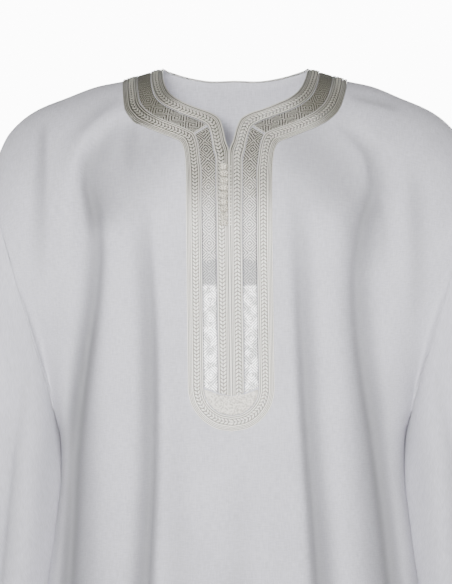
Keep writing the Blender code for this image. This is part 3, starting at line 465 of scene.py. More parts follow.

# Creases, in millimetres, finer than the solids' folds, as seen from the front or the back:
# x and z are the line, depth how far it is pressed in (below 0 it stands out), and near and
# far its widths towards the centre and away from it.
# A crease's depth also paints shade into the cloth's colour where it presses in.
FRONT_CREASES = metres({
    "left_arm_core": {
        "x": (-162, -154, -152, -156, -164, -174, -180, -186, -198, -214),
        "z": (-130, -175, -215, -262, -320, -390, -450, -570, -740, -930),
        "depth": (0, 5.8, 7.8, 8.8, 11.5, 13, 12, 10, 7, 0),
        "near": (6.5, 6.5, 6.5, 6.5, 6.5, 6.5, 6.5, 7, 10, 12),
        "far": (9.5, 9.5, 9.5, 9.5, 11, 14, 19, 19, 16, 14),
    },
    "left_pleat_core": {
        "x": (-98.5, -94.5, -91, -90, -91, -94, -98.5, -106, -119, -136),
        "z": (-150, -220, -300, -370, -440, -520, -600, -760, -1000, -1330),
        "depth": (0, 5.2, 8.2, 9.4, 9.6, 10, 11, 11, 9.5, 7.7),
        "near": (7, 5.2, 5.2, 5.2, 5.2, 5.2, 5.2, 5.2, 7, 10),
        "far": (11, 12, 12, 12.5, 13, 13, 14, 16, 18, 20),
    },
    "right_pleat_core": {
        "x": (74.5, 80, 82, 83.5, 86, 91.5, 97.5, 106, 117, 133),
        "z": (-130, -215, -290, -350, -420, -500, -590, -760, -1000, -1330),
        "depth": (0, 4.2, 6.5, 8, 8.7, 9.5, 10.3, 9.5, 7.6, 5.7),
        "near": (7, 5.2, 5.2, 5.2, 5.2, 5.2, 5.2, 5.2, 7, 10),
        "far": (11, 12, 12.5, 13, 13.5, 14, 15, 16, 18, 20),
    },
    "right_arm_core": {
        "x": (122, 148, 161, 165, 160, 151, 143.5, 146.5, 155, 163, 171, 181, 204),
        "z": (-56, -83, -102, -130, -155, -190, -250, -315, -384, -440, -510, -600, -880),
        "depth": (0, 2.6, 4.5, 5.5, 5.9, 5.9, 6.5, 7.5, 8.5, 8.7, 8.5, 7.5, 0),
        "near": (6, 6, 6, 6, 6, 6, 6, 6, 6, 6, 6, 6, 10),
        "far": (8, 8.5, 9, 9.5, 10, 12.5, 14, 15, 16, 17, 17, 16, 16),
    },
    "right_branch": {
        "x": (160, 170, 173.5, 172.5),
        "z": (-150, -165, -190, -240),
        "depth": (0, 2, 2, 0),
        "near": 6,
        "far": (7, 7, 7, 8),
    },
    "left_shoulder_ridge": {
        "x": (-130, -142, -156, -170, -182, -186, -188, -190, -192),
        "z": (-40, -60, -76, -93, -116, -143, -177, -223, -300),
        "depth": (0, -6, -9.5, -10.5, -9.5, -7.6, -5.4, -3.4, 0),
        "near": (9, 9.5, 10, 10.5, 11, 12, 13, 13, 13),
        "far": (12, 15, 17, 18, 18, 18, 18, 18, 18),
    },
    "left_shoulder_slope": {
        "x": (-132.3, -146.1, -157.6, -164.5, -165, -159, -156),
        "z": (-48.3, -71.3, -90.9, -108, -131, -160, -195),
        "depth": (0, 7, 9.2, 9.6, 9.6, 7.6, 0),
        "near": (15, 20, 23, 24, 24, 22, 15),
        "far": (6, 7, 7.5, 8, 8, 8, 8),
    },
    "left_chest_hollow": {
        "x": (-60, -82, -105, -126, -140, -146),
        "z": (-78, -82, -98, -125, -160, -195),
        "depth": (2.4, 4.4, 5, 4.6, 3.6, 0),
        "near": (36, 40, 42, 42, 36, 30),
        "far": (26, 28, 28, 26, 24, 20),
    },
    "left_collar_valley": {
        "x": (-112, -114, -115, -114),
        "z": (-56, -72, -90, -120),
        "depth": (0, 4.6, 3.6, 0),
        "width": (7, 8, 8, 8),
    },
    "left_shoulder_hollow": {
        "x": (-130, -148, -168, -186),
        "z": (-30, -44, -62, -88),
        "depth": (0, 3, 3, 0),
        "width": (9, 11, 12, 11),
    },
    "left_outer_valley": {
        "x": (-220, -221.5, -222, -222.5, -224),
        "z": (-56, -80, -120, -190, -270),
        "depth": (0, 4.6, 5.6, 3.4, 0),
        "near": (5, 5, 6, 9, 10),
        "far": (6, 6, 7, 9, 11),
    },
    "right_chest_hollow": {
        "x": (48, 72, 98, 123, 145, 154, 156),
        "z": (-66, -76, -96, -120, -150, -185, -240),
        "depth": (2.4, 5, 5.8, 6, 6, 4.4, 0),
        "near": (38, 42, 44, 42, 30, 24, 20),
        "far": (30, 34, 36, 32, 24, 20, 18),
    },
    "right_shoulder_crease": {
        "x": (130, 150, 175, 198),
        "z": (-28, -33, -38, -48),
        "depth": (0, 2.6, 3.2, 0),
        "width": (5, 5, 5.5, 6),
    },
    "right_outer_valley": {
        "x": (208, 212, 214, 210),
        "z": (-100, -160, -230, -310),
        "depth": (0, 3.5, 3.2, 0),
        "width": (9, 10, 10, 9),
    },
    "left_centre_wave": {
        "x": (-66, -64, -62, -60, -60),
        "z": (-300, -420, -560, -800, -1100),
        "depth": (0, 1, 1.6, 2.2, 0),
        "width": (12, 13, 15, 18, 20),
    },
    "centre_wave": {
        "x": (12, 10, 6, 4),
        "z": (-440, -540, -640, -800),
        "depth": (0, 1.2, 1.4, 0),
        "width": (14, 15, 16, 18),
    },
    "right_side_wave": {
        "x": (124, 128, 134, 144, 160, 172),
        "z": (-340, -440, -560, -760, -1050, -1300),
        "depth": (0, -1.2, -1.6, -2.2, -2.6, 0),
        "width": (9, 10, 11, 13, 16, 18),
    },
    "left_hem_wave": {
        "x": (-158, -166, -178, -196),
        "z": (-780, -940, -1120, -1360),
        "depth": (0, 3, 4.8, 6),
        "near": (10, 12, 14, 16),
        "far": (9, 11, 13, 16),
    },
})
BACK_CREASES = metres({
    "left_blade_core": {
        "x": (-136, -148, -155, -158, -165, -180, -200),
        "z": (-110, -180, -280, -400, -560, -760, -960),
        "depth": (0, 2.4, 3.8, 4.6, 4.8, 3.6, 0),
        "near": (6, 5.5, 5, 5, 6, 8, 10),
        "far": (9, 8.5, 8, 7.5, 8, 10, 12),
    },
    "left_middle_core": {
        "x": (-58, -62, -66, -72, -84, -104),
        "z": (-170, -300, -480, -700, -980, -1330),
        "depth": (0, 2.6, 3.8, 4.4, 4, 3),
        "near": (7, 4.5, 3.6, 4.2, 6, 9),
        "far": (11, 12, 13, 15, 17, 20),
    },
    "right_middle_core": {
        "x": (38, 44, 50, 58, 67, 81),
        "z": (-210, -330, -500, -720, -990, -1330),
        "depth": (0, 2.4, 3.6, 4.4, 4.2, 3),
        "near": (7, 4.5, 3.6, 4.2, 6, 9),
        "far": (11, 12, 13, 15, 17, 20),
    },
    "right_blade_core": {
        "x": (126, 140, 146, 151, 161, 178, 200),
        "z": (-90, -170, -270, -400, -560, -760, -960),
        "depth": (0, 2.6, 3.8, 4.6, 5, 3.8, 0),
        "near": (6, 5.5, 5, 5, 6, 8, 10),
        "far": (9, 8.5, 8, 7.5, 8, 10, 12),
    },
    "nape_drape": {
        "x": (-92, -40, 16, 70, 100),
        "z": (-120, -150, -158, -142, -112),
        "depth": (0, 1.8, 2.4, 1.6, 0),
        "width": (11, 12, 12, 12, 11),
    },
    "left_shoulder_pull": {
        "x": (-150, -180, -212, -232),
        "z": (-60, -86, -126, -176),
        "depth": (0, 2.2, 2.6, 0),
        "near": (8, 9, 9, 9),
        "far": (8, 9, 10, 10),
    },
    "right_shoulder_pull": {
        "x": (140, 176, 204, 226),
        "z": (-48, -78, -122, -196),
        "depth": (0, 2, 2.6, 0),
        "near": (8, 9, 9, 9),
        "far": (8, 9, 10, 10),
    },
    "seat_wave": {
        "x": (-6, -8, -6, -2, 2),
        "z": (-520, -640, -820, -1060, -1340),
        "depth": (0, -1.6, -2.4, -3.2, -3.6),
        "width": (16, 18, 20, 22, 24),
    },
    "left_hem_wave": {
        "x": (-150, -158, -170, -186),
        "z": (-700, -900, -1120, -1360),
        "depth": (0, 2.8, 4.4, 5.6),
        "width": (10, 12, 14, 16),
    },
    "right_hem_wave": {
        "x": (124, 132, 146, 160),
        "z": (-640, -860, -1100, -1350),
        "depth": (0, 2.4, 4, 5.2),
        "width": (10, 12, 14, 16),
    },
})
CREASES = {"front": FRONT_CREASES, "back": BACK_CREASES}
# Creases on the sleeves, in millimetres: x is the way round from the outer end, below 0 on
# the back, and z the way down the arm.
# Their depth also paints shade into the sleeve cloth's colour where they press in.
SLEEVE_CREASES = metres({
    "front_underarm_roll": {
        "x": (250, 252, 254, 254, 254),
        "z": (4, 60, 140, 240, 400),
        "depth": (-4, -13, -15, -14, -8),
        "near": (18, 20, 22, 24, 24),
        "far": (20, 24, 26, 26, 26),
    },
    "back_underarm_roll": {
        "x": (-250, -252, -254, -254),
        "z": (4, 70, 180, 400),
        "depth": (-3, -10, -12, -6),
        "near": (18, 20, 22, 24),
        "far": (20, 24, 26, 26),
    },
    "front_core": {
        "x": (112, 100, 90, 84, 78),
        "z": (45, 130, 230, 330, 450),
        "depth": (0, 2.8, 4, 4.2, 4),
        "near": (8, 6, 5, 5, 6),
        "far": (10, 11, 12, 13, 15),
    },
    "front_inner_core": {
        "x": (170, 168, 172, 178),
        "z": (30, 140, 280, 440),
        "depth": (0, 2.6, 3.8, 3.6),
        "near": (7, 6, 6, 7),
        "far": (9, 11, 12, 14),
    },
    "elbow_drag": {
        "x": (36, 66, 100, 128),
        "z": (170, 212, 236, 240),
        "depth": (0, 2.6, 2.8, 0),
        "width": (7, 8, 8, 8),
    },
    "cuff_drag": {
        "x": (30, 52, 82),
        "z": (330, 360, 372),
        "depth": (0, 2.2, 0),
        "width": (7, 8, 8),
    },
    "back_core": {
        "x": (-110, -98, -92, -87),
        "z": (50, 180, 300, 450),
        "depth": (0, 3, 4.2, 4),
        "near": (8, 6, 5, 6),
        "far": (10, 12, 13, 15),
    },
    "back_inner_core": {
        "x": (-186, -188, -193, -196),
        "z": (30, 160, 290, 440),
        "depth": (0, 2.6, 3.6, 3.4),
        "near": (7, 6, 6, 7),
        "far": (9, 11, 12, 14),
    },
    "back_elbow_drag": {
        "x": (-150, -110, -66, -34),
        "z": (262, 250, 216, 176),
        "depth": (0, 3, 2.6, 0),
        "width": (8, 8, 8, 7),
    },
})
CREASE_SAMPLES = 28
CREASE_REACH = 2.6

# ---- Seams and hems ----
SEAM_DIP = 0.0007
SEAM_DIP_WIDTH = 0.0022
HEM_DEPTH = 0.022
HEM_STEP = 0.0006
HEM_EASE = 0.0015

# ---- Curves ----


def smooth_through(places, values, at):
    """A smooth curve through the points that overshoots none of them, read at `at`."""
    places = np.asarray(places, float)
    values = np.asarray(values, float)
    at = np.clip(at, places[0], places[-1])
    step = np.diff(places)
    rise = np.diff(values) / step
    slope = np.zeros(len(places))
    slope[0], slope[-1] = rise[0], rise[-1]
    same_way = rise[:-1] * rise[1:] > 0
    mean = 2 * rise[:-1] * rise[1:] / np.where(same_way, rise[:-1] + rise[1:], 1.0)
    slope[1:-1] = np.where(same_way, mean, 0.0)
    left = np.clip(np.searchsorted(places, at, side="right") - 1, 0, len(step) - 1)
    t = (at - places[left]) / step[left]
    start = (1 + 2 * t) * (1 - t) ** 2 * values[left] + t * (1 - t) ** 2 * step[left] * slope[left]
    end = t * t * (3 - 2 * t) * values[left + 1] - t * t * (1 - t) * step[left] * slope[left + 1]
    return start + end


def column(table, name, key, at):
    return smooth_through(table[key], table[name], at)


def ease(share):
    share = np.clip(share, 0.0, 1.0)
    return share * share * (3 - 2 * share)


def mix(start, end, share):
    return start + (end - start) * share


def unit(vectors):
    return vectors / np.linalg.norm(vectors, axis=-1, keepdims=True)


# ---- The robe's surface ----


def turn_at(drop):
    """The angle that the cloth has turned down from the shoulder seam at this drop."""
    return np.clip(drop / CHEST_DROP, 0.0, 1.0) * math.pi / 2


def armhole_share(drop):
    """0 at the chest level, 1 at the underarm."""
    return np.clip((drop - CHEST_DROP) / (UNDERARM_DROP - CHEST_DROP), 0.0, 1.0)


def half_width_at(drop):
    chest = SECTIONS["half_width"][0]
    cap = SHOULDER_END_X + (chest - SHOULDER_END_X) * (1 - np.cos(turn_at(drop)))
    return np.where(drop < CHEST_DROP, cap, column(SECTIONS, "half_width", "drop", drop))


def wrap_at(drop):
    """How far round the body a half section goes."""
    return mix(CHEST_WRAP, math.pi / 2, ease(armhole_share(drop)))


def across_of(x, drop):
    """The place between the side seams of a point this far from the centre."""
    wrap = wrap_at(drop)
    return np.arcsin(np.clip(x * np.sin(wrap) / half_width_at(drop), -1, 1)) / wrap


def ridge_height(across):
    x = SHOULDER_END_X * np.sin(CHEST_WRAP * np.abs(across)) / math.sin(CHEST_WRAP)
    return smooth_through(RIDGE["x"], RIDGE["z"], x)


def drop_at(x, z):
    """The drop of a point of the surface, from its distance to the centre and its height."""
    x, z = np.asarray(x, float), np.asarray(z, float)
    drop = np.full(x.shape, CHEST_DROP / 2)
    for _ in range(DROP_STEPS):
        ridge = ridge_height(across_of(x, drop))
        fallen = np.clip((ridge - z) / (ridge + CHEST_DROP), 0.0, 1.0)
        drop = np.arccos(1 - fallen) / (math.pi / 2) * CHEST_DROP
    return np.where(z < -CHEST_DROP, -z, drop)


def depth_at(across, drop, side):
    """How far the cloth stands from the plane of the side seams, at or below the chest."""
    drop = np.maximum(drop, CHEST_DROP)
    share = armhole_share(drop)
    wrap = wrap_at(drop)
    middle = column(SECTIONS, side, "drop", drop)
    edge = ARMHOLE_DEPTH * (1 - ease(share))
    armhole = ARMHOLE_DEPTH * np.sqrt(1 - share**2)
    bulge = np.clip((np.cos(wrap * across) - np.cos(wrap)) / (1 - np.cos(wrap)), 0.0, 1.0)
    squared = bulge ** mix(CHEST_SQUARING, BODY_SQUARING, ease(share))
    return edge + (middle - edge) * squared + (armhole - edge) * np.abs(across) ** ARMHOLE_EDGE_POWER


def fold_depth(x, across, drop, folds):
    """How far the folds press the cloth in; they fade out at the seams."""
    pressed = np.zeros(x.shape)
    for fold in folds.values():
        line, depth, near, far = (column(fold, name, "drop", drop) for name in ("x", "depth", "near", "far"))
        width = np.where((x - line) * np.sign(line) < 0, near, far)
        depth = np.where(drop > fold["drop"][0], depth, 0.0)
        pressed = pressed + depth * np.exp(-(((x - line) / width) ** 2))
    return pressed * (1 - np.abs(across) ** FOLD_FADE_POWER)


def robe_surface(across, drop, side):
    """Points of the cloth's outer face, on the front or the back, and how much painted shade
    darkens each, from 0 to 1, by how deep it is pressed in."""
    across, drop = np.broadcast_arrays(np.asarray(across, float), np.asarray(drop, float))
    forward = -1.0 if side == "front" else 1.0
    wrap = wrap_at(drop)
    turn = turn_at(drop)
    x = half_width_at(drop) * np.sin(wrap * across) / np.sin(wrap)
    ridge = ridge_height(across)
    z = np.where(drop < CHEST_DROP, ridge - (ridge + CHEST_DROP) * (1 - np.cos(turn)), -drop)
    y = forward * depth_at(across, drop, side) * np.sin(turn)
    folded = fold_depth(x, across, drop, FOLDS[side])
    creased = crease_depth(x, z, CREASES[side]) * (1 - np.abs(across) ** FOLD_FADE_POWER)
    pressed = folded + creased
    near, far = LEAN_FADE
    lean = column(LEAN, side, "drop", drop) * (1 - ease((np.abs(across) - near) / (far - near)))
    points = np.stack([x + lean, y - forward * pressed * np.sin(turn), z - pressed * np.cos(turn)],
                      axis=-1)
    # The share of painted shade, from how deep the creases and folds press in.
    return points, painted_shade_share(creased + folded * FOLD_SHADE_SHARE)


# How much painted shade darkens the cloth, from how deep it is pressed in.
def painted_shade_share(depth):
    return 1 - np.exp(-np.maximum(depth, 0.0) / PAINTED_SHADE_DEPTH)


def crease_depth(x, z, creases):
    """How far the creases press the cloth in at places of a front or back view."""
    spots = np.stack([x.ravel(), z.ravel()], axis=1)
    total = np.zeros(len(spots))
    at = np.linspace(0, 1, CREASE_SAMPLES)
    for rows in creases.values():
        known = np.linspace(0, 1, len(rows["x"]))
        line_x, line_z, *looks = (
            smooth_through(known, rows[name], at) for name in ("x", "z", "depth", "near", "far"))
        line = np.stack([line_x, line_z], axis=1)
        reach = CREASE_REACH * max(looks[1].max(), looks[2].max())
        beside = ((spots > line.min(axis=0) - reach) & (spots < line.max(axis=0) + reach)).all(axis=1)
        if not beside.any():
            continue
        here = spots[beside]
        step = np.diff(line, axis=0)
        away = here[:, None] - line[:-1]
        share = np.clip((away * step).sum(2) / (step**2).sum(1), 0, 1)
        miss = np.linalg.norm(away - share[..., None] * step, axis=2)
        nearest = miss.argmin(axis=1)
        row = np.arange(len(here))
        place = (nearest + share[row, nearest]) / (CREASE_SAMPLES - 1)
        centre_x, depth, near, far = (np.interp(place, at, values) for values in (line_x, *looks))
        width = np.where((here[:, 0] - centre_x) * np.sign(centre_x) < 0, near, far)
        total[beside] += depth * np.exp(-((miss[row, nearest] / width) ** 2))
    return total.reshape(x.shape)


def front_band_places():
    """(x, drop) of the band's lines at each station, from the neck point to the placket's end."""
    drops = []
    xs = []
    for line, straight_x, end_z in (("edge", SLIT_HALF_GAP, PLACKET_END_Z),
                                    ("outer", BAND_WIDTH, PLACKET_CURVE_Z)):
        x, z = FRONT_BAND[line + "_x"], FRONT_BAND[line + "_z"]
        share = np.arange(1, STRAIGHT_STATIONS + 1) / STRAIGHT_STATIONS
        z = np.concatenate([z, mix(z[-1], end_z, share)])
        x = np.concatenate([x, np.full(STRAIGHT_STATIONS, straight_x)])
        drop = drop_at(x, z)
        drop[0] = 0.0
        xs.append(x)
        drops.append(drop)
    xs[0][SLIT_STATION:] = 0.0
    shares = np.array(BAND_LINES)[:, None] / BAND_WIDTH
    x = mix(xs[0], xs[1], shares)
    drop = mix(drops[0], drops[1], shares)
    x[1:3, -1] = BAND_LINES[1:3]
    drop[1, -1] = -PATCH_CURVE_Z
    drop[2, -1] = -PLACKET_CURVE_Z
    curve_x, curve_drop = band_curve_places()
    return np.hstack([x, curve_x]), np.hstack([drop, curve_drop])


def band_curve_places():
    """(x, drop) of the band's lines round the placket's lower end."""
    angle = np.arange(1, CURVE_STATIONS + 1) / CURVE_STATIONS * math.pi / 2
    x = [np.zeros(CURVE_STATIONS), BAND_LINES[1] * np.cos(angle)]
    drop = [np.full(CURVE_STATIONS, -PLACKET_END_Z), PATCH_CURVE_DEPTH * np.sin(angle) - PATCH_CURVE_Z]
    for radius in BAND_LINES[2:]:
        x.append(radius * np.cos(angle))
        drop.append(radius * np.sin(angle) - PLACKET_CURVE_Z)
    x = np.array(x)
    x[:, -1] = 0.0
    return x, np.array(drop)


def back_band_places():
    """(x, drop) of the band's lines at each station, from the neck point to the centre back."""
    angle = np.arange(BACK_NECK_STATIONS + 1) / BACK_NECK_STATIONS * math.pi / 2
    shares = np.array(BAND_LINES)[:, None] / BAND_WIDTH
    x = mix(NECK_HALF_WIDTH, FRONT_BAND["outer_x"][0], shares) * np.cos(angle)
    x[:, -1] = 0.0
    turn = mix(BACK_NECK_TURN, BACK_BAND_TURN, shares) * np.sin(angle)
    return x, turn / 90 * CHEST_DROP


def sleeve_ring(along, share, depth_share, round_place, hand):
    """A ring that starts in the armhole's shape and becomes an ellipse along the sleeve."""
    top_x, top_z, bottom_x, bottom_z, half_depth = (
        column(SLEEVE_RINGS, name, "along", along)
        for name in ("top_x", "top_z", "bottom_x", "bottom_z", "half_depth"))
    top = np.array([hand * top_x, 0.0, top_z])
    bottom = np.array([hand * bottom_x, 0.0, bottom_z])
    angle = np.abs(round_place) * math.pi
    side = np.where(round_place >= 0, -1.0, 1.0)
    even = ease(along / SLEEVE_EVEN_FROM)
    place = mix(share, (1 - np.cos(angle)) / 2, even)
    depth = mix(depth_share, side * np.sin(angle), even)
    ring = top + place[:, None] * (bottom - top)
    ring[:, 1] = depth * half_depth
    inwards = unit((top + bottom) / 2 - ring)
    return ring + inwards * sleeve_fold_depth(along, round_place)[:, None]


def sleeve_fold_depth(along, round_place):
    sunk = np.zeros(len(round_place))
    for fold in SLEEVE_FOLDS.values():
        if along <= fold["along"][0]:
            continue
        away = round_place - column(fold, "round", "along", along)
        width = column(fold, "width", "along", along)
        sunk += column(fold, "depth", "along", along) * np.exp(-((away / width) ** 2))
    return sunk


def finer(values, parts):
    """A station's values at `parts` times as many places, on a smooth curve."""
    count = values.shape[-1]
    at = np.linspace(0, count - 1, (count - 1) * parts + 1)
    return np.array([smooth_through(np.arange(count), row, at) for row in values])


def armhole_drop(row, rows, cap_rows):
    """The drop at the armhole of a row, whose number may be a fraction."""
    share = np.clip((row - cap_rows) / (rows - cap_rows), 0.0, 1.0)
    low = mix(CHEST_DROP, UNDERARM_DROP, np.sin(share * math.pi / 2))
    return np.where(row < cap_rows, row / cap_rows * CHEST_DROP, low)


def cloth_half(side, hand):
    """One half of a panel: its band grid and its field grid, as (across, drop) of each point,
    and how many rows of the field end at the armhole."""
    if side == "front":
        x, drop = front_band_places()
        parts, cap_rows = STATION_PARTS, FRONT_ARMHOLE_CAP_ROWS
    else:
        x, drop = back_band_places()
        parts, cap_rows = BACK_STATION_PARTS, BACK_ARMHOLE_CAP_ROWS
    rows = x.shape[1] - 1
    x, drop = finer(x, parts), finer(drop, parts)
    if side == "front":
        x[0, SLIT_STATION * parts:] = 0.0
    start_x, start_drop = x[-1], drop[-1]
    if side == "back":
        lower = finer(np.array([(start_drop[-1], *BACK_CENTRE_DROPS)]), parts)[0, 1:]
        start_x = np.append(start_x, np.zeros(len(lower)))
        start_drop = np.append(start_drop, lower)
        rows += len(BACK_CENTRE_DROPS)
    start = across_of(start_x, start_drop)[:, None]
    end_drop = armhole_drop(np.linspace(0, rows, len(start)), rows, cap_rows)[:, None]
    across = mix(start, 1.0, COLUMN_SHARES)
    field_drop = mix(start_drop[:, None], end_drop, COLUMN_SHARES)
    skirt = np.linspace(UNDERARM_DROP, SECTIONS["drop"][-1], SKIRT_ROWS + 1)[1:, None]
    across = np.concatenate([across, np.repeat(COLUMN_SHARES[None], SKIRT_ROWS, axis=0)])
    field_drop = np.concatenate([field_drop, np.repeat(skirt, len(COLUMN_SHARES), axis=1)])
    return (across_of(x, drop) * hand, drop), (across * hand, field_drop), len(start)


def dipped(points, edge_gap, drop):
    """The shell's points, sunk a little beside the seams and raised over the hem's turning."""
    sink = SEAM_DIP * np.exp(-((edge_gap / SEAM_DIP_WIDTH) ** 2))
    over_hem = ease((drop - SECTIONS["drop"][-1] + HEM_DEPTH) / HEM_EASE) * HEM_STEP
    normals = grid_normals(points)
    outwards = np.sign((normals * (points - BODY_CENTRE)).sum(-1, keepdims=True))
    return points + normals * outwards * (over_hem - sink)[..., None]


def grid_normals(points):
    along = np.gradient(points, axis=0)
    aside = np.gradient(points, axis=1)
    return unit(np.cross(along, aside) + GRID_FLOOR)


def grid_faces(rows, columns, closed=False):
    """The four-cornered faces of a grid of points, whose rows may close on themselves."""
    index = np.arange(rows * columns).reshape(rows, columns)
    if closed:
        index = np.concatenate([index, index[:, :1]], axis=1)
    corners = [index[:-1, :-1], index[1:, :-1], index[1:, 1:], index[:-1, 1:]]
    return np.stack(corners, axis=-1).reshape(-1, 4)


def turned_out(faces, points, inside):
    """The faces, turned over if most of them look towards what is inside."""
    corner = points[faces]
    normals = np.cross(corner[:, 2] - corner[:, 0], corner[:, 3] - corner[:, 1])
    outwards = (normals * (corner.mean(axis=1) - inside)).sum() > 0
    return faces if outwards else faces[:, ::-1]


def cloth_piece(name, grids, centre, closed=False):
    """A thin shell from grids of (points, weave places). Points that coincide are one point."""
    points = np.concatenate([grid.reshape(-1, 3) for grid, _ in grids])
    weave = np.concatenate([place.reshape(-1, 3) for _, place in grids])
    _, first, numbers = np.unique(points.round(MERGE_PLACES), axis=0, return_index=True,
                                  return_inverse=True)
    numbers = numbers.ravel()
    faces = []
    base = 0
    for grid, _ in grids:
        rows, columns = grid.shape[:2]
        own = turned_out(grid_faces(rows, columns, closed) + base, points, centre)
        faces.append(numbers[own])
        base += rows * columns
    faces = [tuple(dict.fromkeys(face)) for face in np.concatenate(faces).tolist()]
    mesh = bpy.data.meshes.new(name)
    mesh.from_pydata(points[first].tolist(), [], [face for face in faces if len(face) > 2])
    write_places(mesh, weave[first])
    made = new_piece(name, mesh)
    solidify = made.modifiers.new("thickness", "SOLIDIFY")
    solidify.thickness = SHELL
    solidify.offset = -1.0
    return made


def flat_places(across, along):
    """Places on a flat strip, from the distances across and along it."""
    return np.stack(np.broadcast_arrays(across, along), axis=-1)


def write_places(mesh, places):
    """Stores each point's place on its cloth or strip, in metres, for the material. On the cloth the third
    value is the share of painted shade.
    """
    layer = mesh.attributes.new("place", "FLOAT_VECTOR", "POINT")
    flat = np.zeros((len(places), 3))
    flat[:, :places.shape[1]] = places
    layer.data.foreach_set("vector", flat.astype(np.float32).ravel())


def new_piece(name, mesh):
    mesh.shade_smooth()
    made = bpy.data.objects.new(name, mesh)
    bpy.context.scene.collection.objects.link(made)
    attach(made, "root")
    return made


def build_cloth():
    """Makes the panels' and sleeves' shells."""
    grids = {"front": [], "back": []}
    pieces = {}
    for label, hand in HANDS.items():
        edges = []
        for side in grids:
            band, field, armhole_rows = cloth_half(side, hand)
            under, painted_shade = robe_surface(*band, side)
            grids[side].append((under, weave_places(*band, painted_shade)))
            creased, painted_shade = robe_surface(*field, side)
            edges.append(creased[:armhole_rows, -1])
            gap = np.linalg.norm(creased - creased[:, -1:], axis=-1)
            points = dipped(creased, gap, field[1])
            points[:, 0] = creased[:, 0]
            grids[side].append((points, weave_places(*field, painted_shade)))
        rings, places = sleeve_grid(*edges, hand)
        pieces[label + "_sleeve"] = cloth_piece(label + "_sleeve_cloth", [(rings, places)],
                                                rings.mean(axis=(0, 1)), True)
    for side, own in grids.items():
        pieces[side + "_panel"] = cloth_piece(side + "_cloth", own, BODY_CENTRE)
    for node, piece in pieces.items():
        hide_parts(node)
        piece.data.materials.append(MATERIALS["cloth"])
    return pieces


def weave_places(across, drop, painted_shade):
    """Where each point is on the cloth, and how much painted shade darkens it there."""
    return np.stack(np.broadcast_arrays(across * WEAVE_HALF_TURN, drop, painted_shade), axis=-1)


def sleeve_grid(front_edge, back_edge, hand):
    """A sleeve's fine rings, from the armhole's edge down, and their places on the cloth."""
    loop = np.concatenate([front_edge, back_edge[-2:0:-1]])
    half = len(front_edge) - 1
    index = np.arange(len(loop))
    behind = index > half
    round_place = np.where(behind, -(len(loop) - index) / (len(loop) - half), index / half)
    start, end = front_edge[0], front_edge[-1]
    share = ((loop - start) @ (end - start)) / ((end - start) @ (end - start))
    alongs = np.linspace(0, 1, SLEEVE_RINGS_COUNT) ** SLEEVE_RING_POWER
    rings = [sleeve_ring(along, share, loop[:, 1] / ARMHOLE_DEPTH, round_place, hand)
             for along in alongs[1:]]
    rings = np.array([loop, *rings])
    across, down = np.broadcast_arrays(round_place * SLEEVE_HALF_TURN, alongs[:, None] * SLEEVE_LENGTH)
    pressed = crease_depth(across, down, SLEEVE_CREASES) * ease(alongs / SLEEVE_CREASE_START)[:, None]
    # The third place is the share of painted shade from the sleeve's creases.
    places = np.stack([across, down, painted_shade_share(pressed)], axis=-1)
    pressed += SEAM_DIP * np.exp(-((alongs * SLEEVE_LENGTH / SEAM_DIP_WIDTH) ** 2))[:, None]
    turned = ease((alongs - 1) * SLEEVE_LENGTH / HEM_EASE + HEM_DEPTH / HEM_EASE)
    pressed -= turned[:, None] * HEM_STEP
    centre = rings.mean(axis=1, keepdims=True)
    rings[1:] = (rings + unit(centre - rings) * pressed[..., None])[1:]
    return rings, places


# ---- The band's rails ----


def band_places():
    """(x, drop) of the band's lines at fine stations, behind and in front of the neck point."""
    behind = [finer(values, RAIL_PARTS)[:, ::-1] for values in back_band_places()]
    x, drop = (finer(values, RAIL_PARTS) for values in front_band_places())
    x[0, SLIT_STATION * RAIL_PARTS:] = 0.0
    return {"back": behind, "front": (x, drop)}


def between_lines(values, offset):
    """A value of the band's lines, read at a distance from the neckline's edge."""
    k = min(int(np.searchsorted(BAND_LINES, offset, side="right")) - 1, len(BAND_LINES) - 2)
    return mix(values[k], values[k + 1], (offset - BAND_LINES[k]) / (BAND_LINES[k + 1] - BAND_LINES[k]))


def rail_points(hand, offset):
    """Points from the centre back to the placket's lowest point, on one half."""
    offset = min(max(offset, 0.0), BAND_WIDTH)
    halves = []
    for side, (x, drop) in BAND_PLACES.items():
        drop = between_lines(drop, offset)
        across = across_of(between_lines(x, offset), drop) * hand
        halves.append(robe_surface(across, drop, side)[0])
    return np.concatenate([halves[0], halves[1][1:]])


def half_rail(hand, offset, first, last):
    """Points and outward normals between two stations, counted from the centre back."""
    points = rail_points(hand, offset)
    aside = rail_points(hand, offset + RAIL_STEP) - rail_points(hand, offset - RAIL_STEP)
    normals = unit(np.cross(np.gradient(points, axis=0), aside) + RAIL_FLOOR)
    normals *= np.sign((normals * (points - BODY_CENTRE)).sum(1, keepdims=True))
    cut = slice(round(first * RAIL_PARTS), round(last * RAIL_PARTS) + 1)
    return points[cut], normals[cut]


def rail(offset, first=0, last=LAST_STATION, hand=None):
    """One half's rail, or both halves' as one: up the left, round the neck, down the right."""
    if hand:
        return half_rail(hand, offset, first, last)
    left, right = half_rail(-1, offset, 0, last), half_rail(1, offset, 0, last)
    return tuple(np.concatenate([a[:0:-1], b]) for a, b in zip(left, right))


def lengths_along(points):
    return np.concatenate([[0.0], np.cumsum(np.linalg.norm(np.diff(points, axis=0), axis=1))])


def read_at(values, places):
    """Rows of values read at places that may lie between two rows."""
    rows = np.arange(len(values))
    return np.stack([np.interp(places, rows, column) for column in values.T], axis=-1)


def even_places(points, spacing, start=0.0):
    """Places, as numbers of rows, that stand evenly along a rail, and their distances."""
    along = lengths_along(points)
    count = max(2, int((along[-1] - start) / spacing) + 1)
    distances = np.linspace(start, along[-1], count)
    return np.interp(distances, along, np.arange(len(along))), distances


# ---- Trims ----


